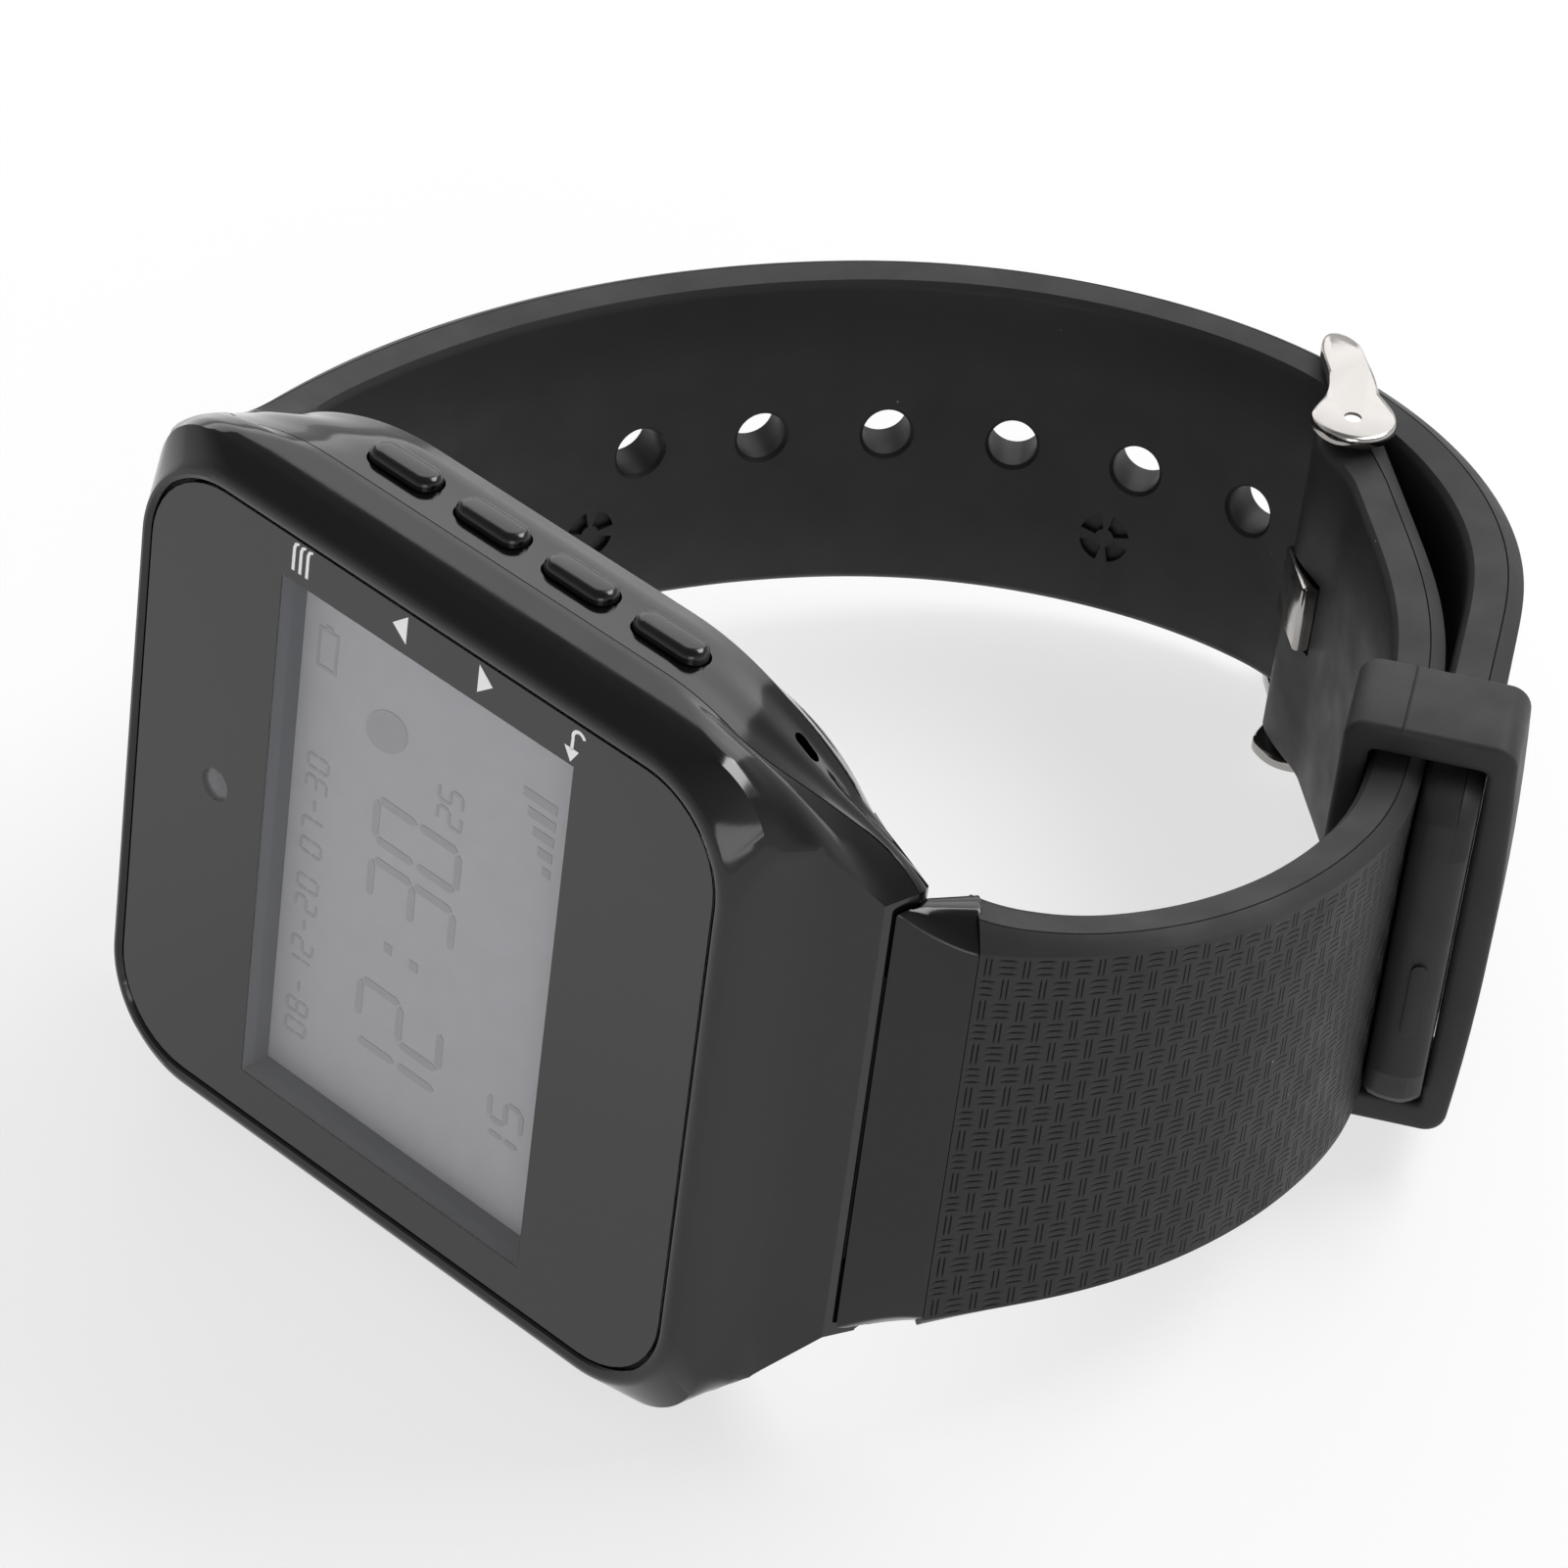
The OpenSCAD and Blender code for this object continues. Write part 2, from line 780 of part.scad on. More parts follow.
front_case();
rear_case();
cover_glass();
glass_adhesive();
printed_film();
key_symbols();
lcd_cell();
lcd_backlight();
lcd_holder();
lcd_flex();
status_led();
led_light_pipe();
main_board();
tact_switches();
radio_shield();
antenna();
battery();
vibration_motor();
buzzer();
case_gasket();
case_screws();
charge_contacts();
button_menu();
button_up();
button_down();
button_back();
strap_link_12();
strap_link_6();
lug_pin_12();
lug_pin_6();
strap_long();
strap_short();
keeper();
buckle_bar();
buckle_frame();
buckle_prong();
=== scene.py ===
"""Looks of the wrist pager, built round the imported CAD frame."""
import json
import math

import bmesh
import bpy
import numpy as np
from mathutils import Matrix, Vector


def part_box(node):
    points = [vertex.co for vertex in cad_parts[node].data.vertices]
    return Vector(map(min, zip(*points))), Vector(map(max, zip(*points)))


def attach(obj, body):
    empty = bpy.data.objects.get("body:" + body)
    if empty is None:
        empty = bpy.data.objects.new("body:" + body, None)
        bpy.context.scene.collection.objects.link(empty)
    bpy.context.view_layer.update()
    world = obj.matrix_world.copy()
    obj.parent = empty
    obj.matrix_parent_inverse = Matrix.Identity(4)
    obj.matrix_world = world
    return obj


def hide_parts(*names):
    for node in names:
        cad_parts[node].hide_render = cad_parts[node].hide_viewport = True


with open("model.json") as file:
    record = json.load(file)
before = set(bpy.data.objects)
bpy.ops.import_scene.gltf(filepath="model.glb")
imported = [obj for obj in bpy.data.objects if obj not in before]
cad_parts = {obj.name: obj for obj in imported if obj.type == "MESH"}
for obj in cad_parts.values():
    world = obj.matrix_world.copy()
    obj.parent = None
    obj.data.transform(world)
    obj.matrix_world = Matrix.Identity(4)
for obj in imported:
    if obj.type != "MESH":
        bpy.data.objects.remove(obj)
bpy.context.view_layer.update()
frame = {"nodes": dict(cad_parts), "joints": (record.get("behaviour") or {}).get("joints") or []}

# ---- the watch's own frame -----------------------------------------------------
# Shapes are drawn in millimetres from the middle of the display glass: +X from 12 to
# 6 o'clock, +Y through the case to the wrist, +Z to the buttons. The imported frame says
# where that is: the buttons press along -Z, and the cover glass has its face on Y = 0.

MM = 0.001
WATCH = "watch_body"
GLASS_T = 1.0
BUTTONS = ("button_menu", "button_up", "button_down", "button_back")
press = next(j for j in frame["joints"] if j["name"] == BUTTONS[0] + "_press")
along_x = Vector((1, 0, 0))
along_z = -Vector(press["axis"])
along_y = along_z.cross(along_x)
glass_low, glass_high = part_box("cover_glass")
display_mid = (glass_low + glass_high) / 2 - along_y * GLASS_T * MM / 2
AXES = np.array([along_x, along_y, along_z])
ORIGIN = np.array(display_mid)


def rowed(points):
    """Watch millimetres to metres in the row frame."""
    return np.asarray(points, float) @ AXES * MM + ORIGIN


def to_watch(point):
    """A point of the row frame, in watch millimetres."""
    return AXES @ (np.array(point) - ORIGIN) / MM


# ---- dimensions, in millimetres ------------------------------------------------
# Most are the CAD model's. The keys' face, the tail's corner, the keeper's height and
# clearance, the ear and the display's depth are set to look like the photograph.

GLASS = (20.2, 18.5, 5.15)
WINDOW = (10.5, 16.0)
LCD_MID_X = -0.2
LCD_DEPTH = 2.0
LED = (-14.3, 0.7)
LUG = (24.3, 7.9)
BACK_Y = 11.8
BUTTON_Y = 6.15
BUTTON_L = 4.65
BUTTON_W = 1.85
BUTTON_TOP = 21.6
SLOT_GAP = 0.13
POST = (16.2, 13.6)
SEAM = (29.7, 9.4)
SEAM_INNER = (27.1, 12.0)
DROOP = 38.5
SHORT_START = (SEAM[0], SEAM[1], 53.0)
SHORT_ARCS = ((7, 11.5), (22, 44.5), (2.5, 13), (9.5, 0), (13.5, 20.5), (11.5, 0))
LONG_HEADING = 105.5
LONG_ARCS = ((43.5, -50.5), (20.5, -33.5), (12.5, -27), (11, -25), (11, -27.5), (19.5, 0))
STRAP_T = 2.9
TAIL_S = 118.0
TAIL_CORNER = 2.8
HOLE_R = 1.5
FIRST_HOLE_S = 30.3
HOLE_PITCH = 7.9
KEEPER_S = 36.8
KEEPER_L = 6.4
KEEPER_WALL = 1.45
KEEPER_Z = 10.9
LAYER_GAP = 0.24
KEEPER_CLEAR = 0.1
BAR = (9.1, 62.5)
EAR_Z = 10.6
EAR_T = 0.8
SHORT_END_HEADING = 142.5


# ---- mesh helpers --------------------------------------------------------------

def build(name, verts, faces, body=WATCH, replaces=(), material=None):
    """A mesh piece from watch millimetres, riding on a body."""
    mesh = bpy.data.meshes.new(name)
    mesh.from_pydata(rowed(verts).tolist(), [], faces)
    mesh.validate()
    mesh.update()
    piece = bpy.data.objects.new(name, mesh)
    bpy.context.scene.collection.objects.link(piece)
    outward(piece)
    if body:
        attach(piece, body)
    if replaces:
        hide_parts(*replaces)
    if material:
        mesh.materials.append(material)
    return piece


def outward(piece):
    """Turns every face of a closed mesh outwards."""
    bm = bmesh.new()
    bm.from_mesh(piece.data)
    bmesh.ops.recalc_face_normals(bm, faces=bm.faces)
    bm.to_mesh(piece.data)
    bm.free()


def smooth(piece, angle=35):
    """Smooth shading, with edges over this angle kept sharp."""
    mesh = piece.data
    mesh.shade_smooth()
    mesh.set_sharp_from_angle(angle=math.radians(angle))
    return piece


def applied(piece):
    """Applies all of a piece's modifiers."""
    graph = bpy.context.evaluated_depsgraph_get()
    mesh = bpy.data.meshes.new_from_object(piece.evaluated_get(graph))
    piece.modifiers.clear()
    old = piece.data
    piece.data = mesh
    mesh.name = piece.name
    bpy.data.meshes.remove(old)
    return piece


def bevelled(piece, width, segments=2, angle=30):
    """Rounds a piece's edges by width millimetres."""
    modifier = piece.modifiers.new("round", "BEVEL")
    modifier.width = width * MM
    modifier.segments = segments
    modifier.limit_method = "ANGLE"
    modifier.angle_limit = math.radians(angle)
    modifier.use_clamp_overlap = True
    modifier.harden_normals = False
    return applied(piece)


def combined(piece, cutters, operation="DIFFERENCE"):
    """Cuts pieces out of a piece, or joins them to it, and removes them."""
    for cutter in cutters:
        modifier = piece.modifiers.new("cut", "BOOLEAN")
        modifier.operation = operation
        modifier.solver = "MANIFOLD"
        modifier.object = cutter
    applied(piece)
    for cutter in cutters:
        mesh = cutter.data
        bpy.data.objects.remove(cutter)
        bpy.data.meshes.remove(mesh)
    return piece


def loft(rings, looped=False):
    """Vertices and faces through rings of equal length, capped or looped back on itself."""
    count, total = len(rings[0]), len(rings) * len(rings[0])
    verts = [p for ring in rings for p in ring]
    faces = []
    for r in range(len(rings) if looped else len(rings) - 1):
        for k in range(count):
            a, b = r * count + k, r * count + (k + 1) % count
            faces.append((a, b, (b + count) % total, (a + count) % total))
    if not looped:
        faces += [tuple(range(count)), tuple(range(total - count, total))]
    return verts, faces


def arc(cx, cy, r, start, end, steps):
    """Points on an arc, angles in degrees."""
    angles = np.radians(np.linspace(start, end, steps + 1))
    return [(cx + r * math.cos(a), cy + r * math.sin(a)) for a in angles]


def rounded_outline(x, z, r, steps=8):
    """Closed outline of a rounded rectangle."""
    points = []
    for sx, sz, start in ((1, 1, 0), (-1, 1, 90), (-1, -1, 180), (1, -1, 270)):
        points += arc(sx * (x - r), sz * (z - r), r, start, start + 90, steps)
    return points


def circle(x, y, r, steps=23):
    """Closed outline of a circle."""
    return arc(x, y, r, 0, 345, steps)


def oblong_outline(length, width, steps=10):
    """Closed outline of an oblong with round ends, along the first axis."""
    half = (length - width) / 2
    return (arc(half, 0, width / 2, -90, 90, steps)
            + arc(-half, 0, width / 2, 90, 270, steps))


def prism(name, outline, low, high, to_point):
    """A closed prism over an outline; to_point(a, b, height) places its corners."""
    rings = [[to_point(a, b, h) for a, b in outline] for h in (low, high)]
    verts, faces = loft(rings)
    return build(name, verts, faces, body=None)


def in_xz(a, b, height):
    return (a, height, b)


def in_xy(a, b, height):
    return (a, b, height)


# ---- materials -----------------------------------------------------------------

def add_node(material, kind, values=(), **settings):
    """A new shader node with plain numbers on its inputs."""
    node = material.node_tree.nodes.new("ShaderNode" + kind)
    for name, value in settings.items():
        setattr(node, name, value)
    for name, value in dict(values).items():
        node.inputs[name].default_value = value
    return node


def joined(material, source, target):
    material.node_tree.links.new(source, target)


def shader_inputs(material):
    return material.node_tree.nodes["Principled BSDF"].inputs


def new_material(name, colour, roughness, metallic=0.0, specular=0.5):
    """A Principled material with its plain numbers on the shader's own sockets."""
    material = bpy.data.materials.new(name)
    material.use_nodes = True
    values = {"Base Color": (*colour, 1), "Roughness": roughness, "Metallic": metallic,
              "Specular IOR Level": specular}
    for socket, value in values.items():
        shader_inputs(material)[socket].default_value = value
    return material


def in_piece(material, texture):
    """Feeds a texture the piece's own coordinates."""
    place = add_node(material, "TexCoord")
    joined(material, place.outputs["Object"], texture.inputs["Vector"])
    return texture


def noise(material, scale, detail=3.0):
    """The output of a noise texture, scale per metre."""
    texture = add_node(material, "TexNoise", {"Scale": scale, "Detail": detail})
    return in_piece(material, texture).outputs["Fac"]


def ranged(material, value, low, high, start=0.3, end=0.7):
    """A value stretched from start..end to low..high."""
    node = add_node(material, "MapRange", {"From Min": start, "From Max": end,
                                           "To Min": low, "To Max": high})
    joined(material, value, node.inputs["Value"])
    return node.outputs["Result"]


def vary_roughness(material, low, high, scale):
    value = ranged(material, noise(material, scale, 4), low, high)
    joined(material, value, shader_inputs(material)["Roughness"])


def bump(material, height, distance, strength):
    """Adds a bump of this depth in millimetres."""
    node = add_node(material, "Bump", {"Strength": strength, "Distance": distance * MM})
    joined(material, height, node.inputs["Height"])
    joined(material, node.outputs["Normal"], shader_inputs(material)["Normal"])


def tint(material, colours, factor):
    """Mixes two base colours by a factor."""
    mix = add_node(material, "Mix", data_type="RGBA")
    for socket, colour in zip("AB", colours):
        mix.inputs[socket].default_value = (*colour, 1)
    joined(material, factor, mix.inputs["Factor"])
    joined(material, mix.outputs["Result"], shader_inputs(material)["Base Color"])


def product(material, first, second):
    node = add_node(material, "Math", operation="MULTIPLY")
    joined(material, first, node.inputs[0])
    joined(material, second, node.inputs[1])
    return node.outputs["Value"]


def dust(material, spacing, size, colour):
    """Scatters rare pale specks of dust over the base colour, sizes in millimetres."""
    cells = in_piece(material, add_node(material, "TexVoronoi", {"Scale": 1 / (spacing * MM)}))
    near = ranged(material, cells.outputs["Distance"], 1, 0, 0.5 * size / spacing, size / spacing)
    parts = add_node(material, "SeparateColor")
    joined(material, cells.outputs["Color"], parts.inputs["Color"])
    chosen = ranged(material, parts.outputs["Red"], 0, 1, 0.72, 0.74)
    mix = add_node(material, "Mix", data_type="RGBA")
    base = shader_inputs(material)["Base Color"]
    joined(material, base.links[0].from_socket, mix.inputs["A"])
    mix.inputs["B"].default_value = (*colour, 1)
    joined(material, product(material, near, chosen), mix.inputs["Factor"])
    joined(material, mix.outputs["Result"], base)


def grey(value):
    return (value, value, value)


def gloss_black(name, rough, specular=0.5):
    """Moulded gloss black with a faint ripple and a few specks of dust."""
    colour = 0.003
    material = new_material(name, grey(colour), rough[0], specular=specular)
    tint(material, (grey(colour), grey(colour * 1.5)), noise(material, 300))
    vary_roughness(material, *rough, 220)
    bump(material, noise(material, 900, 2), 0.004, 0.35)
    dust(material, 2.6, 0.05, (0.35, 0.34, 0.33))
    return material


def rubber(name, colour, rough=(0.42, 0.56)):
    """Matt silicone with a fine grain and dust that clings to it."""
    material = new_material(name, grey(colour), rough[0], specular=0.24)
    tint(material, (grey(colour), grey(colour * 1.35)), noise(material, 180))
    vary_roughness(material, *rough, 350)
    bump(material, noise(material, 9000, 2), 0.012, 0.5)
    dust(material, 2.2, 0.055, (0.4, 0.39, 0.37))
    return material


def plain(name, colour, rough, metallic=0.0, grain=1500, spread=0.08, depth=0.006,
          specular=0.5):
    """A quiet moulded or plated surface: grain in tone, roughness and bump."""
    material = new_material(name, colour, rough, metallic, specular)
    lighter = tuple(min(1, c * 1.12) for c in colour)
    tint(material, (colour, lighter), noise(material, grain / 4))
    vary_roughness(material, rough, rough + spread, grain)
    bump(material, noise(material, grain * 2, 2), depth, 0.5)
    return material


def glass():
    """Thin clear glass: its outer face mirrors by Fresnel and the rest lets light through."""
    material = bpy.data.materials.new("cover_glass_clear")
    material.use_nodes = True
    nodes = material.node_tree.nodes
    nodes.remove(nodes["Principled BSDF"])
    clear = add_node(material, "BsdfTransparent", {"Color": (0.95, 0.95, 0.96, 1)})
    glossy = add_node(material, "BsdfGlossy")
    smears = ranged(material, noise(material, 150), 0.02, 0.06)
    joined(material, smears, glossy.inputs["Roughness"])
    fresnel = add_node(material, "Fresnel", {"IOR": 1.5})
    facing = add_node(material, "NewGeometry")
    front = add_node(material, "Math", {0: 1}, operation="SUBTRACT")
    joined(material, facing.outputs["Backfacing"], front.inputs[1])
    share = product(material, fresnel.outputs["Fac"], front.outputs["Value"])
    mix = add_node(material, "MixShader")
    joined(material, share, mix.inputs["Fac"])
    joined(material, clear.outputs["BSDF"], mix.inputs[1])
    joined(material, glossy.outputs["BSDF"], mix.inputs[2])
    joined(material, mix.outputs["Shader"], nodes["Material Output"].inputs["Surface"])
    return material


CASE = gloss_black("case_gloss", (0.07, 0.13))
LINK = gloss_black("link_gloss", (0.16, 0.24), 0.4)
CAP = gloss_black("button_gloss", (0.13, 0.2))
STRAP = rubber("strap_rubber", 0.019)
KEEPER_RUBBER = rubber("keeper_rubber", 0.024, (0.48, 0.62))
PRINT = plain("print_black", (0.019, 0.019, 0.02), 0.05, grain=500, spread=0.03, depth=0)
WHITE = plain("print_white", (0.86, 0.86, 0.87), 0.5, specular=0.0)
LCD_GREY = plain("lcd_grey", (0.46, 0.46, 0.468), 0.5, grain=3000, spread=0.05, specular=0.0)
# painted shade: the display well's walls get a dark grey that stands in for the shade inside the well
LCD_WELL_SHADE = plain("lcd_wall_painted_shade", (0.12, 0.125, 0.135), 0.5, specular=0.0)
LCD_INK = plain("lcd_ink", (0.385, 0.385, 0.392), 0.5, specular=0.0)
PIPE = plain("light_pipe", (0.045, 0.045, 0.05), 0.25)
STEEL = plain("polished_steel", (0.37, 0.355, 0.342), 0.1, 1.0, grain=900, spread=0.1)
GLASS_CLEAR = glass()

# ---- routes of the two strap halves --------------------------------------------

def hung(point):
    """A point of the 6 o'clock link, where the 12 o'clock link has it."""
    c, s = math.cos(math.radians(DROOP)), math.sin(math.radians(DROOP))
    x, y = point[0] - LUG[0], point[1] - LUG[1]
    return (-LUG[0] - x * c + y * s, LUG[1] + x * s + y * c)


def moved(pose, length, turn):
    half = math.radians(turn / 2)
    chord = length * (math.sin(half) / half if half else 1)
    heading = math.radians(pose[2]) + half
    return (pose[0] + chord * math.cos(heading), pose[1] + chord * math.sin(heading),
            pose[2] + turn)


def pose_at(start, arcs, s):
    """Position and heading at distance s; past the end the route runs straight on."""
    pose, left = start, s
    for length, turn in arcs:
        if left <= length:
            return moved(pose, left, turn * left / length)
        pose = moved(pose, length, turn)
        left -= length
    return moved(pose, left, 0)


LONG_START = (*hung(SEAM), LONG_HEADING)


def beside(pose, d):
    a = math.radians(pose[2])
    return (pose[0] - d * math.sin(a), pose[1] + d * math.cos(a))


EASE = 3.5


class Route:
    """Points of a strap half: distance s, width w and depth d from its outer face."""

    def __init__(self, start, arcs, side):
        self.start, self.arcs, self.side, self.known = start, arcs, side, {}
        self.length = sum(length for length, turn in arcs)

    def pose(self, s):
        """The pose at s, averaged a little way along so that one arc eases into the next."""
        key = round(s, 6)
        if key not in self.known:
            reach = max(0, min(EASE, s, self.length - s))
            poses = [pose_at(self.start, self.arcs, s + reach * k / 3) for k in range(-3, 4)]
            self.known[key] = tuple(np.average(poses, 0, (1, 2, 2, 2, 2, 2, 1)))
        return self.known[key]

    def at(self, s, w, d):
        x, y = beside(self.pose(s), self.side * d)
        return (x, y, w)

    def depth_y(self, s):
        return self.pose(s)[1]


SHORT = Route(SHORT_START, SHORT_ARCS, 1)
LONG = Route(LONG_START, LONG_ARCS, -1)
SHORT_END = SHORT.length

# ---- case ----------------------------------------------------------------------

LONG_STEPS, CORNER_STEPS, END_STEPS = 8, 26, 6


def spaced(points, count):
    """Points evenly spaced along a polyline."""
    points = np.array(points)
    gaps = np.linalg.norm(np.diff(points, axis=0), axis=1)
    along = np.concatenate([[0], np.cumsum(gaps)])
    wanted = np.linspace(0, along[-1], count + 1)
    return np.stack([np.interp(wanted, along, points[:, k]) for k in range(points.shape[1])], 1)


class Level:
    """One closed line round the case: a long side, a corner arc, a line to the crease and
    an end. y_long and y_end are its depths on the long sides and ends."""

    def __init__(self, z, x_flat, r, x_mid, crease, y_long, y_end, dip=(0.0, 1.0), tuck=0.0):
        self.numbers = np.array([z, x_flat, r, x_mid, *crease, y_long, y_end, *dip, tuck])

    def mixed(self, other, share):
        level = Level(1, 0, 1, 1, (1, 1), 0, 0)
        level.numbers = self.numbers * (1 - share) + other.numbers * share
        return level

    def quarter(self):
        z, x_flat, r, x_mid, cx, cz, y_long, y_end, dip_a, dip_b, tuck = self.numbers
        sweep = math.degrees(math.asin(min(1, (x_mid - x_flat) / r)))
        bend = arc(x_flat, z - r, r, 90, 90 - sweep, 24)
        if math.dist(bend[-1], (cx, cz)) > 0.01:
            bend.append((cx, cz))
        side = [(x_flat * k / LONG_STEPS, z) for k in range(LONG_STEPS)]
        corner = spaced(bend, CORNER_STEPS)
        end = [(cx, cz * (1 - k / END_STEPS)) for k in range(1, END_STEPS + 1)]
        points = [(x, y_long, w) for x, w in side]
        for k, (x, w) in enumerate(corner):
            t = min(1, max(0, (k / CORNER_STEPS - dip_a) / (dip_b - dip_a)))
            t = t * t * (3 - 2 * t)
            points.append((x, y_long + (y_end - y_long) * t, w))
        points += [(x, y_end, w) for x, w in end]
        return points

    def ring(self):
        """The whole line, the 12 o'clock half drawn in by tuck."""
        q = self.quarter()
        tuck = self.numbers[10]
        reach = max(p[0] for p in q)
        back = [(x - tuck * (x / reach) ** 4, y, z) for x, y, z in q]
        right_top = q
        right_low = [(x, y, -z) for x, y, z in reversed(q[:-1])]
        left_low = [(-x, y, -z) for x, y, z in back[1:]]
        left_top = [(-x, y, z) for x, y, z in reversed(back[1:-1])]
        return right_top + right_low + left_low + left_top


def lip(grow, y, tuck=0.0):
    """A level parallel to the edge of the glass."""
    x, z, r = (v + grow for v in GLASS)
    return Level(z, x - r, r, x, (x, z - r), y, y, tuck=tuck)


FRONT_LEVELS = [
    lip(0.2, 1.28), lip(0.2, 0.05), lip(0.3, -0.1), lip(0.55, -0.19, 0.1),
    lip(0.85, -0.15, 0.22), lip(1.1, 0.0, 0.35), lip(1.3, 0.22, 0.4),
    Level(20.42, 17.6, 4.5, 22.1, (22.1, 15.9), 1.3, 1.5, tuck=0.45),
    Level(20.66, 16.6, 6.6, 22.7, (22.65, 16.2), 2.1, 2.6, tuck=0.35),
    Level(20.85, 14, 13, 23.5, (23.5, 16.6), 3.2, 4.05, tuck=0.2),
    Level(20.92, 12.6, 14.5, 22.4, (25.85, 13.75), 3.6, 6.3, (0.25, 1.0)),
    Level(20.95, 12, 15.2, 22, (26.35, 13.95), 3.93, 8.2, (0.3, 0.95)),
]
REAR_LEVELS = [
    Level(20.92, 12, 15.2, 22, (26.3, 13.92), 4.02, 8.29, (0.3, 0.95)),
    Level(20.93, 11, 16.5, 21.3, (26.3, 13.9), 5.2, 8.6, (0.3, 1.0)),
    Level(20.95, 10.5, 17, 21, (26.2, 13.85), 6.4, 8.9, (0.3, 1.0)),
    Level(21.0, 9.2, 17, 21, (26.0, 13.7), 7.9, 9.3, (0.3, 1.0)),
    Level(20.84, 9.2, 17, 21, (25.7, 13.5), 8.9, 9.6, (0.3, 1.0)),
    Level(19.95, 9.5, 17, 21, (25.2, 13.2), 9.6, 10.0, (0.2, 1.0)),
    Level(19.0, 10, 17, 21, (24.3, 13.0), 10.3, 10.3),
    Level(17.7, 12, 11, 21, (21.6, 13.3), 11.3, 11.3),
    Level(16.8, 13, 7, 20, (20, 13.6), BACK_Y, BACK_Y),
]


FRONT_INNER = [
    Level(19.6, 12, 13.5, 21.5, (24.1, 13.2), 3.95, 8.1, (0.3, 0.95)),
    Level(19.2, 14, 7, 20.8, (20.9, 15.3), 2.7, 5.4),
]


def refined(levels, sharp, parts=3):
    """Levels with others put between them; those in sharp keep an edge."""
    out = []
    for k in range(len(levels) - 1):
        out.append(levels[k])
        if k in sharp:
            continue
        out += [levels[k].mixed(levels[k + 1], n / parts) for n in range(1, parts)]
    return out + [levels[-1]]


def front_shell():
    rings = [level.ring() for level in refined(FRONT_LEVELS, (0, 1, 2, 3, 4, 5, 6))]
    inner = [level.ring() for level in FRONT_INNER]
    bottom = [[(x * 0.9, 2.4, z * 0.9) for x, y, z in rings[0]],
              [(x * 0.9, 1.28, z * 0.9) for x, y, z in rings[0]]]
    verts, faces = loft(rings + inner + bottom, looped=True)
    piece = build("front_shell", verts, faces, WATCH, ("front_case",), CASE)
    combined(piece, [recess_cutter(1), recess_cutter(-1)])
    smooth(piece, 28)


def recess_cutter(side):
    """Cuts the slot in a lug where the link's tongue turns."""
    x, y = LUG
    outline = [(x - 1.95, y), (x - 1.5, y - 1.3), (x - 0.6, y - 1.85), (x + 0.6, y - 1.85),
               (x + 1.6, y - 1.1), (x + 6, y + 2.2), (x + 6, 16), (x - 1.95, 16)]
    outline = [(side * a, b) for a, b in outline]
    return prism("cut_recess", outline, -9.3, 9.3, in_xy)


def rear_shell():
    rings = [level.ring() for level in refined(REAR_LEVELS, ())]
    wall = [[(x * 0.93, y, z * 0.93) for x, y, z in rings[0]],
            [(x * 0.85, 10.4, z * 0.88) for x, y, z in rings[0]]]
    verts, faces = loft(list(reversed(wall)) + rings)
    piece = build("rear_shell", verts, faces, WATCH, ("rear_case",), CASE)
    cutters = [recess_cutter(1), recess_cutter(-1)]
    for name in BUTTONS:
        x = button_x(name)
        outline = [(x + a, BUTTON_Y + b)
                   for a, b in oblong_outline(BUTTON_L + 2 * SLOT_GAP, BUTTON_W + 2 * SLOT_GAP)]
        cutters.append(prism("cut_slot", outline, 17, 23, in_xy))
    for sx in (1, -1):
        for sz in (1, -1):
            centre = (sx * POST[0], sz * POST[1])
            for r, depth in ((0.9, 6), (1.7, 1.2)):
                cutters.append(prism("cut_screw", circle(*centre, r),
                                     BACK_Y - depth, BACK_Y + 1, in_xz))
    for z in (-4, 4):
        cutters.append(prism("cut_contact", circle(0, z, 1.3),
                             BACK_Y - 2, BACK_Y + 1, in_xz))
    cutters.append(sound_port())
    combined(piece, cutters)
    return smooth(piece, 28)


def sound_port():
    """A small oblong hole that enters the 6 o'clock corner at a slant."""
    turn = Matrix.Rotation(math.radians(48), 3, "Y")

    def slanted(a, b, h):
        return tuple(Vector((19.6, 7.7, 19.5)) + turn @ Vector((a, b, h)))

    return prism("cut_port", oblong_outline(1.7, 0.85), -3.4, 1.5, slanted)


def button_x(name):
    low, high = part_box(name)
    return float(to_watch((low + high) / 2)[0])


def cover_glass():
    """A plate with a rounded rim; the print lies at its face."""
    x, z, r = (v + 0.08 for v in GLASS)
    steps = [(-0.1, 0.05), (0, 0.14), (0, GLASS_T - 0.05)]
    rings = [[(a, y, b) for a, b in rounded_outline(x + g, z + g, r + g, 10)] for g, y in steps]
    rings.insert(0, [(a, 0.0, b) for a, b in rounded_outline(x - 0.25, z - 0.25, r - 0.25, 10)])
    verts, faces = loft(rings)
    piece = build("cover_glass_plate", verts, faces, WATCH, ("cover_glass",),
                  GLASS_CLEAR)
    return smooth(piece, 50)


def window_outline(grow):
    """The display's window, grown by so many millimetres."""
    x, z = WINDOW[0] + grow, WINDOW[1] + grow
    return [(LCD_MID_X + sx * x, sz * z) for sx, sz in ((1, 1), (-1, 1), (-1, -1), (1, -1))]


def printed_mask():
    """The glossy black face of the display, with its window and the light pipe's hole."""
    piece = prism("printed_mask", rounded_outline(*(v + 0.02 for v in GLASS), 10), -0.01, 0.06, in_xz)
    combined(piece, [prism("cut_window", window_outline(0), -1, 3, in_xz),
                     prism("cut_led", circle(*LED, 0.95, 35), -1, 3, in_xz)])
    finish_piece(piece, ("printed_film",), PRINT)
    smooth(piece, 30)


def finish_piece(piece, replaces, material, body=WATCH):
    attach(piece, body)
    if replaces:
        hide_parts(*replaces)
    piece.data.materials.clear()
    piece.data.materials.append(material)


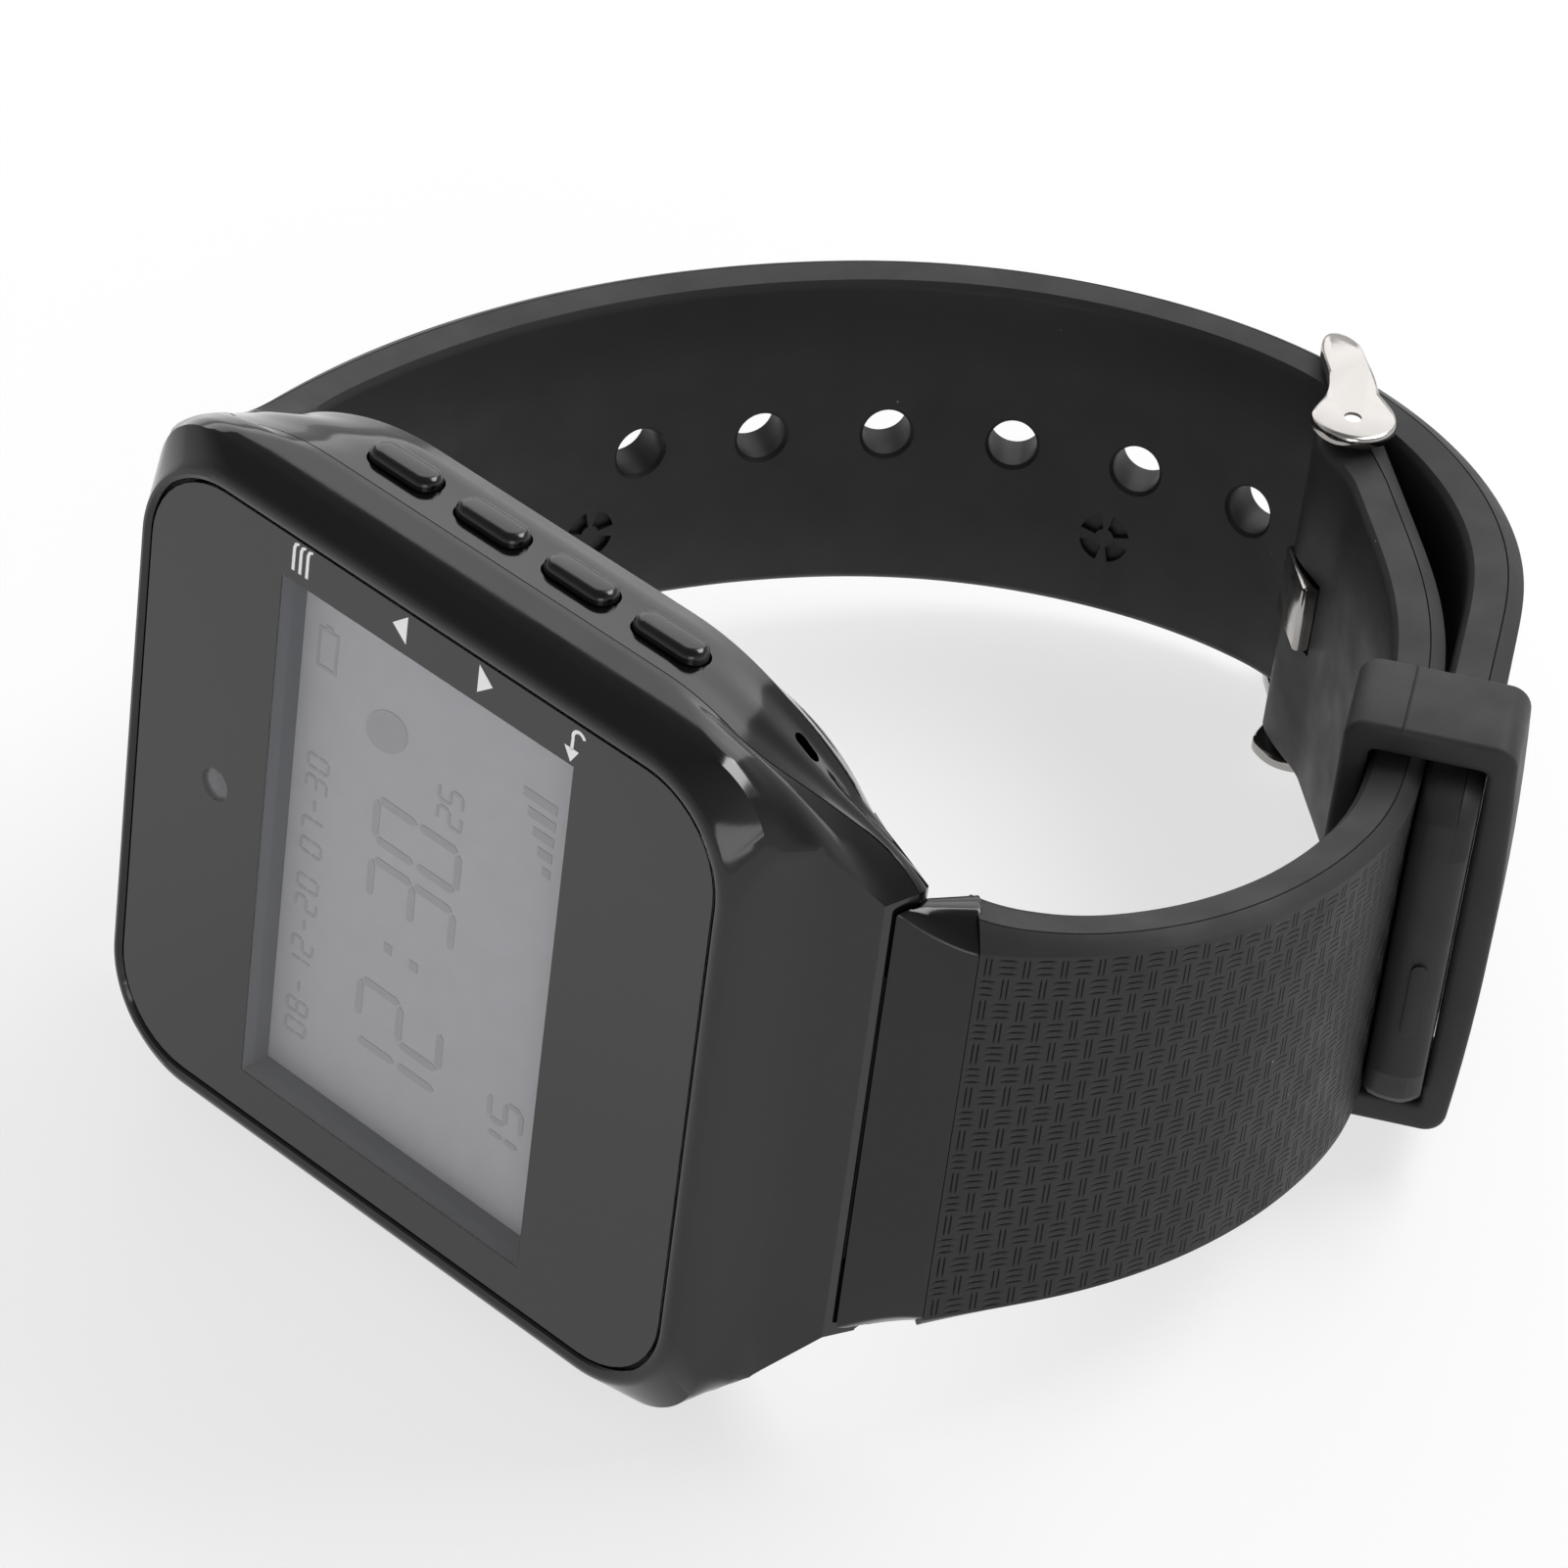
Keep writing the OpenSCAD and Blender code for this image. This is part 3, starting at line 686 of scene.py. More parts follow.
def lcd():
    """The display: a grey face at the bottom of a shallow well, its walls a darker grey that paints in
    the shade inside the well.
    """
    face = prism("lcd_face", window_outline(0.6), LCD_DEPTH, 2.9, in_xz)
    finish_piece(face, ("lcd_cell",), LCD_GREY)
    well = prism("lcd_well", window_outline(0.6), 0.14, LCD_DEPTH - 0.02, in_xz)
    combined(well, [prism("cut_well", window_outline(0.05), 0, 3, in_xz)])
    # the walls' dark grey is painted shade for the inside of the well
    finish_piece(well, (), LCD_WELL_SHADE)


# Segments of a digit in a unit box: a to g, each from one corner to another
SEGMENTS = {"a": (0, 1, 1, 1), "b": (1, 0.5, 1, 1), "c": (1, 0, 1, 0.5), "d": (0, 0, 1, 0),
            "e": (0, 0, 0, 0.5), "f": (0, 0.5, 0, 1), "g": (0, 0.5, 1, 0.5)}
DIGITS = {"0": "abcdef", "1": "bc", "2": "abged", "3": "abgcd", "4": "fgbc", "5": "afgcd",
          "6": "afgedc", "7": "abc", "8": "abcdefg", "9": "abcdfg", "-": "g"}


def plates_piece(name, outlines, low, high, replaces, material):
    """One piece of many thin plates, from outlines in (X, Z)."""
    verts, faces = [], []
    for outline in outlines:
        part, part_faces = loft([[(x, y, z) for x, z in outline] for y in (low, high)])
        faces += [tuple(i + len(verts) for i in face) for face in part_faces]
        verts += part
    build(name, verts, faces, WATCH, replaces, material)


def segment_plates(char, left, low, width, height, thick):
    plates = []
    for name in DIGITS.get(char, ""):
        x0, y0, x1, y1 = SEGMENTS[name]
        ax, ay, bx, by = left + x0 * width, low + y0 * height, left + x1 * width, low + y1 * height
        h, gap = thick / 2, thick * 0.18
        if y0 == y1:
            plates.append([(ax + gap, ay), (ax + gap + h, ay + h), (bx - gap - h, ay + h),
                           (bx - gap, ay), (bx - gap - h, ay - h), (ax + gap + h, ay - h)])
        else:
            plates.append([(ax, ay + gap), (ax + h, ay + gap + h), (ax + h, by - gap - h),
                           (ax, by - gap), (ax - h, by - gap - h), (ax - h, ay + gap + h)])
    return plates


def lcd_ink():
    """Time, date and symbols as thin plates on the display: right is +Z and up is -X."""
    plates = []
    for char, left in (("1", -13.4), ("2", -9.5), ("3", -1.7), ("0", 2.1)):
        plates += segment_plates(char, left, -1.5, 2.5, 6.0, 0.5)
    for up in (0.6, 2.5):
        plates.append([(-4.4, up), (-3.8, up), (-3.8, up + 0.6), (-4.4, up + 0.6)])
    for k, char in enumerate("08-12-20"):
        plates += segment_plates(char, -13.4 + k * 1.35, 8.2, 0.8, 1.5, 0.2)
    for k, char in enumerate("07-30"):
        plates += segment_plates(char, -1.6 + k * 1.35, 8.2, 0.8, 1.5, 0.2)
    for k, char in enumerate("25"):
        plates += segment_plates(char, 5.8 + k * 1.3, -1.4, 0.9, 1.7, 0.22)
    for k, char in enumerate("15"):
        plates += segment_plates(char, -12.4 + k * 2.4, -7.7, 1.5, 2.3, 0.34)
    for k in range(5):
        left = 6.6 + k * 1.0
        plates.append([(left, -7.8), (left + 0.55, -7.8), (left + 0.55, -7.2 + k * 0.45),
                       (left, -7.2 + k * 0.45)])
    for a, b, c, d in ((10.1, 8.2, 12.6, 8.4), (10.1, 9.5, 12.6, 9.7), (10.1, 8.4, 10.3, 9.5),
                       (12.4, 8.4, 12.6, 9.5), (12.6, 8.7, 12.85, 9.2)):
        plates.append([(a, b), (c, b), (c, d), (a, d)])
    oval = [(8.9 + 1.3 * math.cos(t) - 0.35 * math.sin(t), 4.3 + 1.5 * math.sin(t))
            for t in np.linspace(0, 2 * math.pi, 24, endpoint=False)]
    plates.append(oval)
    outlines = [[(-up, right) for right, up in plate] for plate in plates]
    plates_piece("lcd_segments", outlines, LCD_DEPTH - 0.03, LCD_DEPTH + 0.02, (), LCD_INK)


def key_symbols():
    """The white symbols printed beside the buttons."""
    plates = []
    for i in range(3):
        x = -10.05 + i * 0.5
        plates.append([(x, 16.65), (x, 18.0), (x + 0.12, 18.32), (x + 0.42, 18.42),
                       (x + 0.42, 18.28), (x + 0.24, 18.18), (x + 0.2, 17.95), (x + 0.2, 16.65)])
    plates.append([(-1.7, 18.3), (-2.72, 17.45), (-1.7, 16.65)])
    plates.append([(3.42, 18.3), (4.44, 17.45), (3.42, 16.65)])
    hook = arc(10.45, 17.75, 0.5, 200, 20, 10)
    inner = arc(10.45, 17.75, 0.3, 20, 200, 10)
    plates.append([(9.95, 16.9)] + hook + inner + [(10.15, 16.9)])
    plates.append([(9.55, 17.0), (10.05, 16.2), (10.55, 17.0)])
    plates_piece("key_symbol_print", plates, -0.03, 0.0, ("key_symbols",), WHITE)


def light_pipe():
    rings = [[(x, y, z) for x, z in circle(*LED, r, 35)]
             for r, y in ((0.7, 0.14), (0.92, 0.2), (0.92, 4.0))]
    verts, faces = loft(rings)
    smooth(build("light_pipe_dome", verts, faces, WATCH, ("led_light_pipe",),
                 PIPE), 40)


def button(name):
    """A pill-shaped cap, domed across its width, on a hidden flange."""
    x = button_x(name)
    flange = [(17.5, 5.4, 2.2), (17.95, 5.4, 2.2)]
    cap = [(17.95, BUTTON_L, BUTTON_W), (BUTTON_TOP - 0.42, BUTTON_L, BUTTON_W),
           (BUTTON_TOP - 0.24, BUTTON_L - 0.1, BUTTON_W - 0.1),
           (BUTTON_TOP - 0.1, BUTTON_L - 0.34, BUTTON_W - 0.34),
           (BUTTON_TOP - 0.03, BUTTON_L - 0.66, BUTTON_W - 0.66),
           (BUTTON_TOP, BUTTON_L - 1.05, BUTTON_W - 1.05)]
    rings = [[(x + a, BUTTON_Y + b, z) for a, b in oblong_outline(length, width)]
             for z, length, width in flange + cap]
    verts, faces = loft(rings)
    piece = build(name + "_cap", verts, faces, name, (name,), CAP)
    smooth(piece, 40)


# ---- links ---------------------------------------------------------------------

def link_point(t, v, w):
    """t runs from the lug to the seam and v from the outer face to the inner."""
    angle = math.radians(-30.5 + 75 * v)
    front = (LUG[0] + 2.15 * math.cos(angle), LUG[1] + 2.15 * math.sin(angle))
    back = (SEAM[0] + (SEAM_INNER[0] - SEAM[0]) * v, SEAM[1] + (SEAM_INNER[1] - SEAM[1]) * v)
    return (front[0] + (back[0] - front[0]) * t, front[1] + (back[1] - front[1]) * t, w)


def link_block():
    rings = []
    for k in range(13):
        t = k / 12
        corner = 11.6 + 1.65 * (1 - t) ** 1.7
        full = 13.3 - 0.2 * t
        rim = 0.46 + 0.04 * t
        side = [(0, corner * 0.5), (0, corner), (rim * 0.5, (corner + full) / 2 + 0.12),
                (rim, full), (0.7, full - 0.05), (0.93, full - 0.3), (1, full - 0.8)]
        points = [link_point(t, v, w) for v, w in side]
        inner = [link_point(t, v, w) for v, w in ((1, 6), (1, 0), (1, -6))]
        mirror = [link_point(t, v, -w) for v, w in reversed(side)]
        rings.append([link_point(t, 0, 0)] + points + inner + mirror)
    verts, faces = loft(rings)
    return build("link_block", verts, faces, body=None)


def link_piece(name, node, place):
    block = link_block()
    block = bevelled(block, 0.14, 2, 25)
    eye = prism("eye", circle(*LUG, 1.6, 31), -9, 9, in_xy)
    web = prism("web", [(LUG[0] + 0.9, LUG[1] - 1.3), (27.6, LUG[1] + 0.85), SEAM_INNER,
                        (26.2, 11.3), (LUG[0] - 0.2, LUG[1] + 1.58)], -9, 9, in_xy)
    combined(eye, [web], "UNION")
    combined(eye, [prism("bore", circle(*LUG, 0.8), -10, 10, in_xy)])
    combined(block, [eye], "UNION")
    points = [to_watch(v.co) for v in block.data.vertices]
    for vertex, point in zip(block.data.vertices, rowed([place(p) for p in points])):
        vertex.co = point
    block.name = name
    outward(block)
    finish_piece(block, (node,), LINK)
    return smooth(block, 30)


def place_6(p):
    return p


def place_12(p):
    x, y = hung((p[0], p[1]))
    return (x, y, p[2])


# ---- straps --------------------------------------------------------------------

CELL_S = 1.0
CELLS_ACROSS = 17
GROOVE = 0.08
PARTING = 0.3
ALONG = (0, 0.13, 0.32, 0.37, 0.42, 0.58, 0.63, 0.68, 0.87)
ACROSS = (0, 0.1, 0.155, 0.2, 0.245, 0.455, 0.5, 0.545, 0.755, 0.8, 0.845, 0.9)
DEPTHS = (0.012, 0.04, 0.14, 0.25, 0.285, PARTING, 0.315, 0.35, 0.5, 0.72, 0.88, 0.96, 1.0)


def grooved(a, b, fa, fb):
    """How deep a point of the weave lies, 0 to 1, in cell (a, b) at (fa, fb)."""
    if (a + b) % 2:
        return float(fb in (0.2, 0.5, 0.8) and 0.1 < fa < 0.9)
    return float(fa in (0.37, 0.63) and 0.05 < fb < 0.95)


def strap_half(s, y):
    """Half width of a strap at its parting line."""
    return 10.2 + 2.1 * math.exp(-(y - 10) / 14) + 0.6 * math.exp(-s / 2.5)


def edge_profile(share, near_link):
    """How far the side stands in from the parting line, at a share of the thickness."""
    if share == PARTING:
        return 0.09
    if share < PARTING:
        return (0.5 + 0.75 * near_link) * (1 - share / PARTING) ** 1.15
    lower = (share - PARTING) / (1 - PARTING)
    return 0.16 * lower + 0.5 * max(0, (share - 0.85) / 0.15) ** 2


class Strap:
    """Builds one strap half: a woven outer face, moulded sides and a plain inner face."""

    def __init__(self, route, length, thick, tail):
        self.route, self.length, self.thick, self.tail = route, length, thick, tail

    def width(self, s):
        half = strap_half(s, self.route.depth_y(min(s, self.length)))
        if self.tail == "round" and s > self.length - TAIL_CORNER:
            run = s - (self.length - TAIL_CORNER)
            half += math.sqrt(max(0, TAIL_CORNER ** 2 - run ** 2)) - TAIL_CORNER
        return half

    def full_width(self, s):
        return strap_half(s, self.route.depth_y(min(s, self.length)))

    def corner_inset(self, s):
        return edge_profile(0, math.exp(-s / 5))

    def rows(self):
        cells = int(math.ceil(self.length / CELL_S))
        rows = [(a, fa, (a + fa) * CELL_S) for a in range(cells) for fa in ALONG]
        rows = [r for r in rows if r[2] < self.length - 0.2]
        return rows + [(cells, 0.0, self.length)]

    def build(self, name):
        rows = self.rows()
        half_cells = CELLS_ACROSS / 2
        columns = [(b, fb, (b + fb) / half_cells - 1) for b in range(CELLS_ACROSS) for fb in ACROSS]
        columns.append((CELLS_ACROSS, 0.0, 1.0))
        verts, faces, grid = [], [], []
        for a, fa, s in rows:
            limit = self.width(s) - self.corner_inset(s)
            base = self.full_width(s) - self.corner_inset(s)
            line, low, high = [], None, None
            calm = s < 0.25 or s > self.length - 0.4
            for b, fb, c in columns:
                w = c * base
                if w <= -limit + 0.02:
                    if low is None:
                        low = len(verts)
                        verts.append(self.route.at(s, -limit, 0))
                    line.append(low)
                elif w >= limit - 0.02:
                    if high is None:
                        high = len(verts)
                        verts.append(self.route.at(s, limit, 0))
                    line.append(high)
                else:
                    near = limit - abs(w) < 0.25
                    depth = 0 if calm or near else GROOVE * grooved(a, b, fa, fb)
                    line.append(len(verts))
                    verts.append(self.route.at(s, w, depth))
            grid.append(line)
        for i in range(len(grid) - 1):
            for j in range(len(columns) - 1):
                face = []
                for v in (grid[i][j], grid[i][j + 1], grid[i + 1][j + 1], grid[i + 1][j]):
                    if v not in face:
                        face.append(v)
                if len(face) > 2:
                    faces.append(tuple(face))
        rim = self.rim(rows, grid)
        below = self.sides(rim, verts, faces)
        self.inner_face(rows, rim, below, verts, faces)
        return verts, faces

    def rim(self, rows, grid):
        """Stations round the outer face: vertex, s, outward direction (es, ew) and kind."""
        last = len(rows) - 1
        turning = self.length - TAIL_CORNER

        def station(i, column, sign):
            s = rows[i][2]
            if i == last:
                es, ew = (0.75, 0.66) if self.tail == "round" else (1.0, 1.0)
            elif self.tail == "round" and s >= turning:
                es = (s - turning) / TAIL_CORNER
                ew = math.sqrt(max(0, 1 - es * es))
            else:
                es, ew = 0.0, 1.0
            return (grid[i][column], s, es, sign * ew, "side")

        stations = [station(i, -1, 1) for i in range(last + 1)]
        seen = {grid[last][-1], grid[last][0]}
        for v in reversed(grid[last]):
            if v not in seen:
                seen.add(v)
                stations.append((v, rows[last][2], 1.0, 0.0, "end"))
        stations += [station(i, 0, -1) for i in range(last, -1, -1)]
        stations += [(v, rows[0][2], 0.0, 0.0, "start") for v in grid[0][1:-1]]
        return stations

    def reach(self, share, s, es, kind):
        """How far a station stands outwards along the strap and across it."""
        near = math.exp(-s / 5)
        out = edge_profile(0, near) - edge_profile(share, near)
        if self.tail == "round":
            full = 0.85 * math.sqrt(max(0, 1 - (1 - 2 * share) ** 2))
            out += es * es * (full - out)
        elif kind == "end" or kind == "side" and es:
            r = self.thick(s) / 2
            return math.sqrt(max(0, r * r - (r - 2 * r * share) ** 2)), out
        return out, out

    def sides(self, rim, verts, faces):
        """Rings below the rim down to the inner face; returns the last ring."""
        base = [verts[v][2] for v, *rest in rim]
        ring = [v for v, *rest in rim]
        for share in DEPTHS:
            below = []
            for (v, s, es, ew, kind), w in zip(rim, base):
                along, across = self.reach(share, s, es, kind)
                below.append(len(verts))
                verts.append(self.route.at(s + es * along, w + ew * across, share * self.thick(s)))
            for k in range(len(ring)):
                n = (k + 1) % len(ring)
                faces.append((ring[k], ring[n], below[n], below[k]))
            ring = below
        return ring

    def inner_face(self, rows, rim, ring, verts, faces):
        last = len(rows) - 1
        kept = {kind: [v for v, station in zip(ring, rim) if station[4] == kind]
                for kind in ("side", "end", "start")}
        right = kept["side"][:last + 1]
        left = kept["side"][last + 1:][::-1]
        lines = []
        for i in range(1, last):
            s = rows[i][2]
            middle = []
            for share in (-0.5, 0.0, 0.5):
                middle.append(len(verts))
                verts.append(self.route.at(s, verts[right[i]][2] * share, self.thick(s)))
            lines.append([left[i], *middle, right[i]])
        for upper, lower in zip(lines, lines[1:]):
            for k in range(len(upper) - 1):
                faces.append((upper[k], upper[k + 1], lower[k + 1], lower[k]))
        faces.append((right[last], *kept["end"], left[last], *lines[-1]))
        faces.append((left[0], *kept["start"], right[0], *reversed(lines[0])))


def root_thick(s):
    return STRAP_T + 0.9 * max(0, 1 - s / 8) ** 2


def long_thick(s):
    """The end that lies on the other half is a little thicker, so the two nearly touch."""
    lap = min(1, max(0, (s - 71) / 4))
    return root_thick(s) + 0.2 * lap * lap * (3 - 2 * lap)


def short_thick(s):
    swell = max(0, (s - (SHORT_END - 5)) / 5)
    return root_thick(s) + 0.95 * swell * swell * (3 - 2 * swell)


def across_route(route, s, d):
    """Placer for a cutter drawn flat on a strap: a along it, b across, h into it."""
    def place(a, b, h):
        return route.at(s + a, b, d + h)
    return place


def mould_mark(route, s, w):
    """Four arcs of a moulding mark on the inner face, as cutters."""
    cutters = []
    place = across_route(route, s, STRAP_T)
    for k in range(4):
        start = 90 * k + 14
        outline = arc(0, w, 1.6, start, start + 62, 8) + arc(0, w, 0.6, start + 62, start, 4)
        cutters.append(prism("cut_mark", outline, -0.3, 0.6, place))
    return cutters


def strap_long():
    strap = Strap(LONG, TAIL_S, long_thick, "round")
    verts, faces = strap.build("strap_long")
    piece = build("strap_long_woven", verts, faces, WATCH, ("strap_long",), STRAP)
    cutters = []
    for i in range(7):
        place = across_route(LONG, FIRST_HOLE_S + i * HOLE_PITCH, 0)
        rings = [[place(a, b, h) for a, b in arc(0, 0, r, 0, 352.5, 47)]
                 for h, r in ((-0.6, HOLE_R + 0.2), (0, HOLE_R + 0.2), (0.15, HOLE_R),
                              (STRAP_T - 0.2, HOLE_R), (STRAP_T, HOLE_R + 0.22),
                              (STRAP_T + 0.6, HOLE_R + 0.22))]
        part, part_faces = loft(rings)
        cutters.append(build("cut_hole", part, part_faces, body=None))
    for s in (27.4, 60.6):
        cutters += mould_mark(LONG, s, -5.0)
    combined(piece, cutters)
    place = across_route(LONG, TAIL_S, 0)
    outline = oblong_outline(4.6, 0.85)
    gate = prism("gate_mark", [(a - 1.9, 1.3 + b) for a, b in outline], -0.3, 0.22,
                 lambda a, b, h: LONG.at(TAIL_S + 0.84 + h, a, b))
    finish_piece(gate, (), STRAP)
    smooth(bevelled(gate, 0.05, 2, 40), 40)
    return smooth(piece, 40)


def from_bar(a, b):
    """A point a along the short strap's end and b towards the wrist from the buckle's bar."""
    turn = math.radians(SHORT_END_HEADING)
    return (BAR[0] + a * math.cos(turn) - b * math.sin(turn),
            BAR[1] + a * math.sin(turn) + b * math.cos(turn))


def strap_short():
    strap = Strap(SHORT, SHORT_END, short_thick, "bar")
    verts, faces = strap.build("strap_short")
    piece = build("strap_short_woven", verts, faces, WATCH, ("strap_short",), STRAP)
    notch = [from_bar(a, b) for a, b in ((-3.4, -4), (8, -4), (8, 4), (-3.4, 4))]
    cutters = [prism("cut_notch", notch, -2.35, 2.35, in_xy),
               prism("cut_bar", circle(*BAR, 0.78, 31), -15, 15, in_xy)]
    combined(piece, cutters)
    return smooth(piece, 40)


def keeper_outline(x, z, r, ridge_x):
    """Outline of the loop with the same number of points at any size; the points near
    ridge_x on the two sides are where the mould line runs."""
    flat = x - r
    near = (flat - ridge_x) / (2 * flat)
    side = sorted([0.1, 0.8, 0.9, near - 0.012, near, near + 0.012])
    shares = (side, [k / 12 for k in range(1, 12)], [1 - f for f in reversed(side)],
              [k / 12 for k in range(1, 12)])
    corners = rounded_outline(x, z, r, 8)
    size = len(corners) // 4
    points = []
    for k, between in enumerate(shares):
        points += corners[k * size:(k + 1) * size]
        a, b = np.array(points[-1]), np.array(corners[(k + 1) * size % len(corners)])
        points += [tuple(a + (b - a) * f) for f in between]
    return np.array(points)


def keeper():
    """A loop swept round both strap layers, with soft edges and a mould line."""
    outer = -(LAYER_GAP + STRAP_T) - KEEPER_CLEAR
    inner = STRAP_T + KEEPER_CLEAR
    middle, half = (outer + inner) / 2, (inner - outer) / 2
    wide, deep = half + KEEPER_WALL, KEEPER_Z + KEEPER_WALL + 0.2
    ridge_x = 0.5 * half
    inside = keeper_outline(half, KEEPER_Z, 0.4, ridge_x)
    outside = keeper_outline(wide, deep, 1.2, ridge_x)
    r = 0.35
    section = []
    for a, b, start in ((KEEPER_L / 2 - r, KEEPER_WALL - r, 0), (r - KEEPER_L / 2, KEEPER_WALL - r, 90),
                        (r - KEEPER_L / 2, r, 180), (KEEPER_L / 2 - r, r, 270)):
        section += arc(a, b, r, start, start + 90, 4)
    pose = SHORT.pose(KEEPER_S)
    h = math.radians(pose[2])
    rings = []
    for low, high in zip(inside, outside):
        ridge = 0.1 if abs(high[0] - ridge_x) < 0.01 and abs(high[1]) > KEEPER_Z else 0
        bow = 0.5 * (1 - (low[1] / KEEPER_Z) ** 2) if low[0] < 0 else 0
        ring = []
        for along, up in section:
            share = up / KEEPER_WALL
            d, w = low + (high - low) * share
            d -= bow * share
            w += math.copysign(ridge * (share > 0.9), w)
            x, y = beside(pose, middle + d)
            ring.append((x + along * math.cos(h), y + along * math.sin(h), w))
        rings.append(ring)
    verts, faces = loft(rings, looped=True)
    smooth(build("keeper_loop", verts, faces, "keeper", ("keeper",),
                 KEEPER_RUBBER), 35)


# ---- buckle --------------------------------------------------------------------

def curved(points, steps=6):
    """A smooth closed curve through points."""
    points = np.array(points)
    out = []
    for k in range(len(points)):
        a, b, c, d = (points[(k + n) % len(points)] for n in (-1, 0, 1, 2))
        for t in np.arange(steps) / steps:
            out.append(0.5 * (2 * b + (c - a) * t + (2 * a - 5 * b + 4 * c - d) * t ** 2
                              + (3 * b - 3 * c + d - a) * t ** 3))
    return np.array(out)


def ear_outline():
    """A teardrop: broad and round at the bar, narrow at the crossbar."""
    eye = arc(9.0, 62.75, 2.4, -135, 55, 7)
    right = [(9.3, 65.3), (8.4, 65.75), (7.1, 66.85), (5.6, 67.9)]
    top = [(4.4, 68.7), (3.2, 68.85), (2.5, 68.2)]
    left = [(3.1, 66.9), (5.2, 65.0), (6.5, 63.2)]
    return curved(eye + right + top + left)


def buckle_frame():
    ears = []
    for side in (1, -1):
        rings = []
        outline = ear_outline()
        centre = outline.mean(0)
        for inset, h in ((0.22, 0), (0.05, 0.1), (0, 0.25), (0, 0.7), (0.1, 0.9), (0.35, 1.0)):
            z = side * (EAR_Z + h * EAR_T)
            ring = []
            for p in outline:
                d = p - centre
                d = d / np.linalg.norm(d)
                ring.append((p[0] - d[0] * inset, p[1] - d[1] * inset, z))
            rings.append(ring)
        verts, faces = loft(rings)
        ears.append(build("ear", verts, faces, body=None))
    bar = prism("crossbar", rounded_bar(3.45, 68.6, 1.9, 0.8), -EAR_Z - 0.5, EAR_Z + 0.5, in_xy)
    frame_piece = ears[0]
    combined(frame_piece, [ears[1], bar], "UNION")
    holes = [prism("cut_pivot", circle(*BAR, 0.5), s * (EAR_Z + 0.55), s * (EAR_Z + 1.5), in_xy)
             for s in (1, -1)]
    combined(frame_piece, holes)
    frame_piece.name = "buckle_frame_steel"
    finish_piece(frame_piece, ("buckle_frame",), STEEL, "buckle_frame")
    smooth(frame_piece, 32)


def rounded_bar(x, y, width, height, r=0.35):
    return [(x + a, y + b) for a, b in rounded_outline(width / 2, height / 2, r, 5)]


def buckle_prong():
    rings = [[(BAR[0] + r * math.cos(a), BAR[1] + r * math.sin(a), z)
              for a in np.linspace(0, 2 * math.pi, 40, endpoint=False)]
             for z, r in ((-2.15, 1.15), (-2.05, 1.27), (-1.95, 1.3), (1.95, 1.3), (2.05, 1.27),
                          (2.15, 1.15))]
    verts, faces = loft(rings)
    tube = build("prong_tube", verts, faces, body=None)
    spine = [(9.0, 63.0), (8.55, 66.0), (8.3, 68.4), (7.9, 69.35), (7.0, 69.75), (5.0, 69.8),
             (2.6, 69.8)]
    spine = spaced(spine, 24)
    rings = []
    for k, (x, y) in enumerate(spine):
        ahead = spine[min(k + 1, len(spine) - 1)] - spine[max(k - 1, 0)]
        n = np.array([-ahead[1], ahead[0]]) / np.linalg.norm(ahead)
        tip = max(0, (k - 19) / 5)
        half_w, half_t = 0.9 - 0.35 * tip, 0.42 - 0.12 * tip
        rings.append([(x + n[0] * b, y + n[1] * b, a)
                      for a, b in rounded_outline(half_w, half_t, 0.25, 4)])
    verts, faces = loft(rings)
    blade = build("prong_blade", verts, faces, body=None)
    tab = [from_bar(a - 1.05, b + 1.35) for a, b in rounded_outline(2.25, 0.75, 0.3, 4)]
    combined(tube, [blade, bevelled(prism("tab", tab, -2.1, 2.1, in_xy), 0.2, 2, 40)], "UNION")
    combined(tube, [prism("cut_bore", circle(*BAR, 0.8, 31), -5, 5, in_xy)])
    tube.name = "buckle_prong_steel"
    finish_piece(tube, ("buckle_prong",), STEEL, "buckle_prong")
    smooth(tube, 32)


# ---- the pieces that stay as CAD nodes -----------------------------------------

INNER_LOOKS = {
    "glass_adhesive": ((0.012, 0.012, 0.012), 0.7, 0.0),
    "lcd_backlight": ((0.75, 0.77, 0.74), 0.3, 0.0),
    "lcd_holder": ((0.7, 0.7, 0.66), 0.5, 0.0),
    "lcd_flex": ((0.45, 0.2, 0.04), 0.35, 0.0),
    "status_led": ((0.8, 0.75, 0.5), 0.3, 0.0),
    "main_board": ((0.012, 0.09, 0.03), 0.35, 0.0),
    "tact_switches": ((0.6, 0.6, 0.6), 0.3, 1.0),
    "radio_shield": ((0.6, 0.6, 0.6), 0.28, 1.0),
    "antenna": ((0.7, 0.38, 0.2), 0.3, 1.0),
    "battery": ((0.6, 0.61, 0.63), 0.4, 1.0),
    "vibration_motor": ((0.62, 0.62, 0.64), 0.25, 1.0),
    "buzzer": ((0.02, 0.02, 0.021), 0.45, 0.0),
    "case_gasket": ((0.25, 0.03, 0.015), 0.6, 0.0),
    "case_screws": ((0.55, 0.54, 0.53), 0.3, 1.0),
    "charge_contacts": ((0.85, 0.6, 0.25), 0.2, 1.0),
    "lug_pin_12": ((0.6, 0.6, 0.6), 0.25, 1.0),
    "lug_pin_6": ((0.6, 0.6, 0.6), 0.25, 1.0),
    "buckle_bar": ((0.6, 0.59, 0.58), 0.25, 1.0),
}


def dress_inner_parts():
    for node, (colour, rough, metallic) in INNER_LOOKS.items():
        piece = frame["nodes"][node]
        piece.data.materials.clear()
        piece.data.materials.append(plain(node + "_finish", colour, rough, metallic))


# ---- camera, light and floor ---------------------------------------------------

CAMERA_AT = (200.27, -215.54, 221.09)
CAMERA_AIM = (10.788, 15.722, 8.234)
CAMERA_ROLL = 0.16
CAMERA_LENS = 165.02


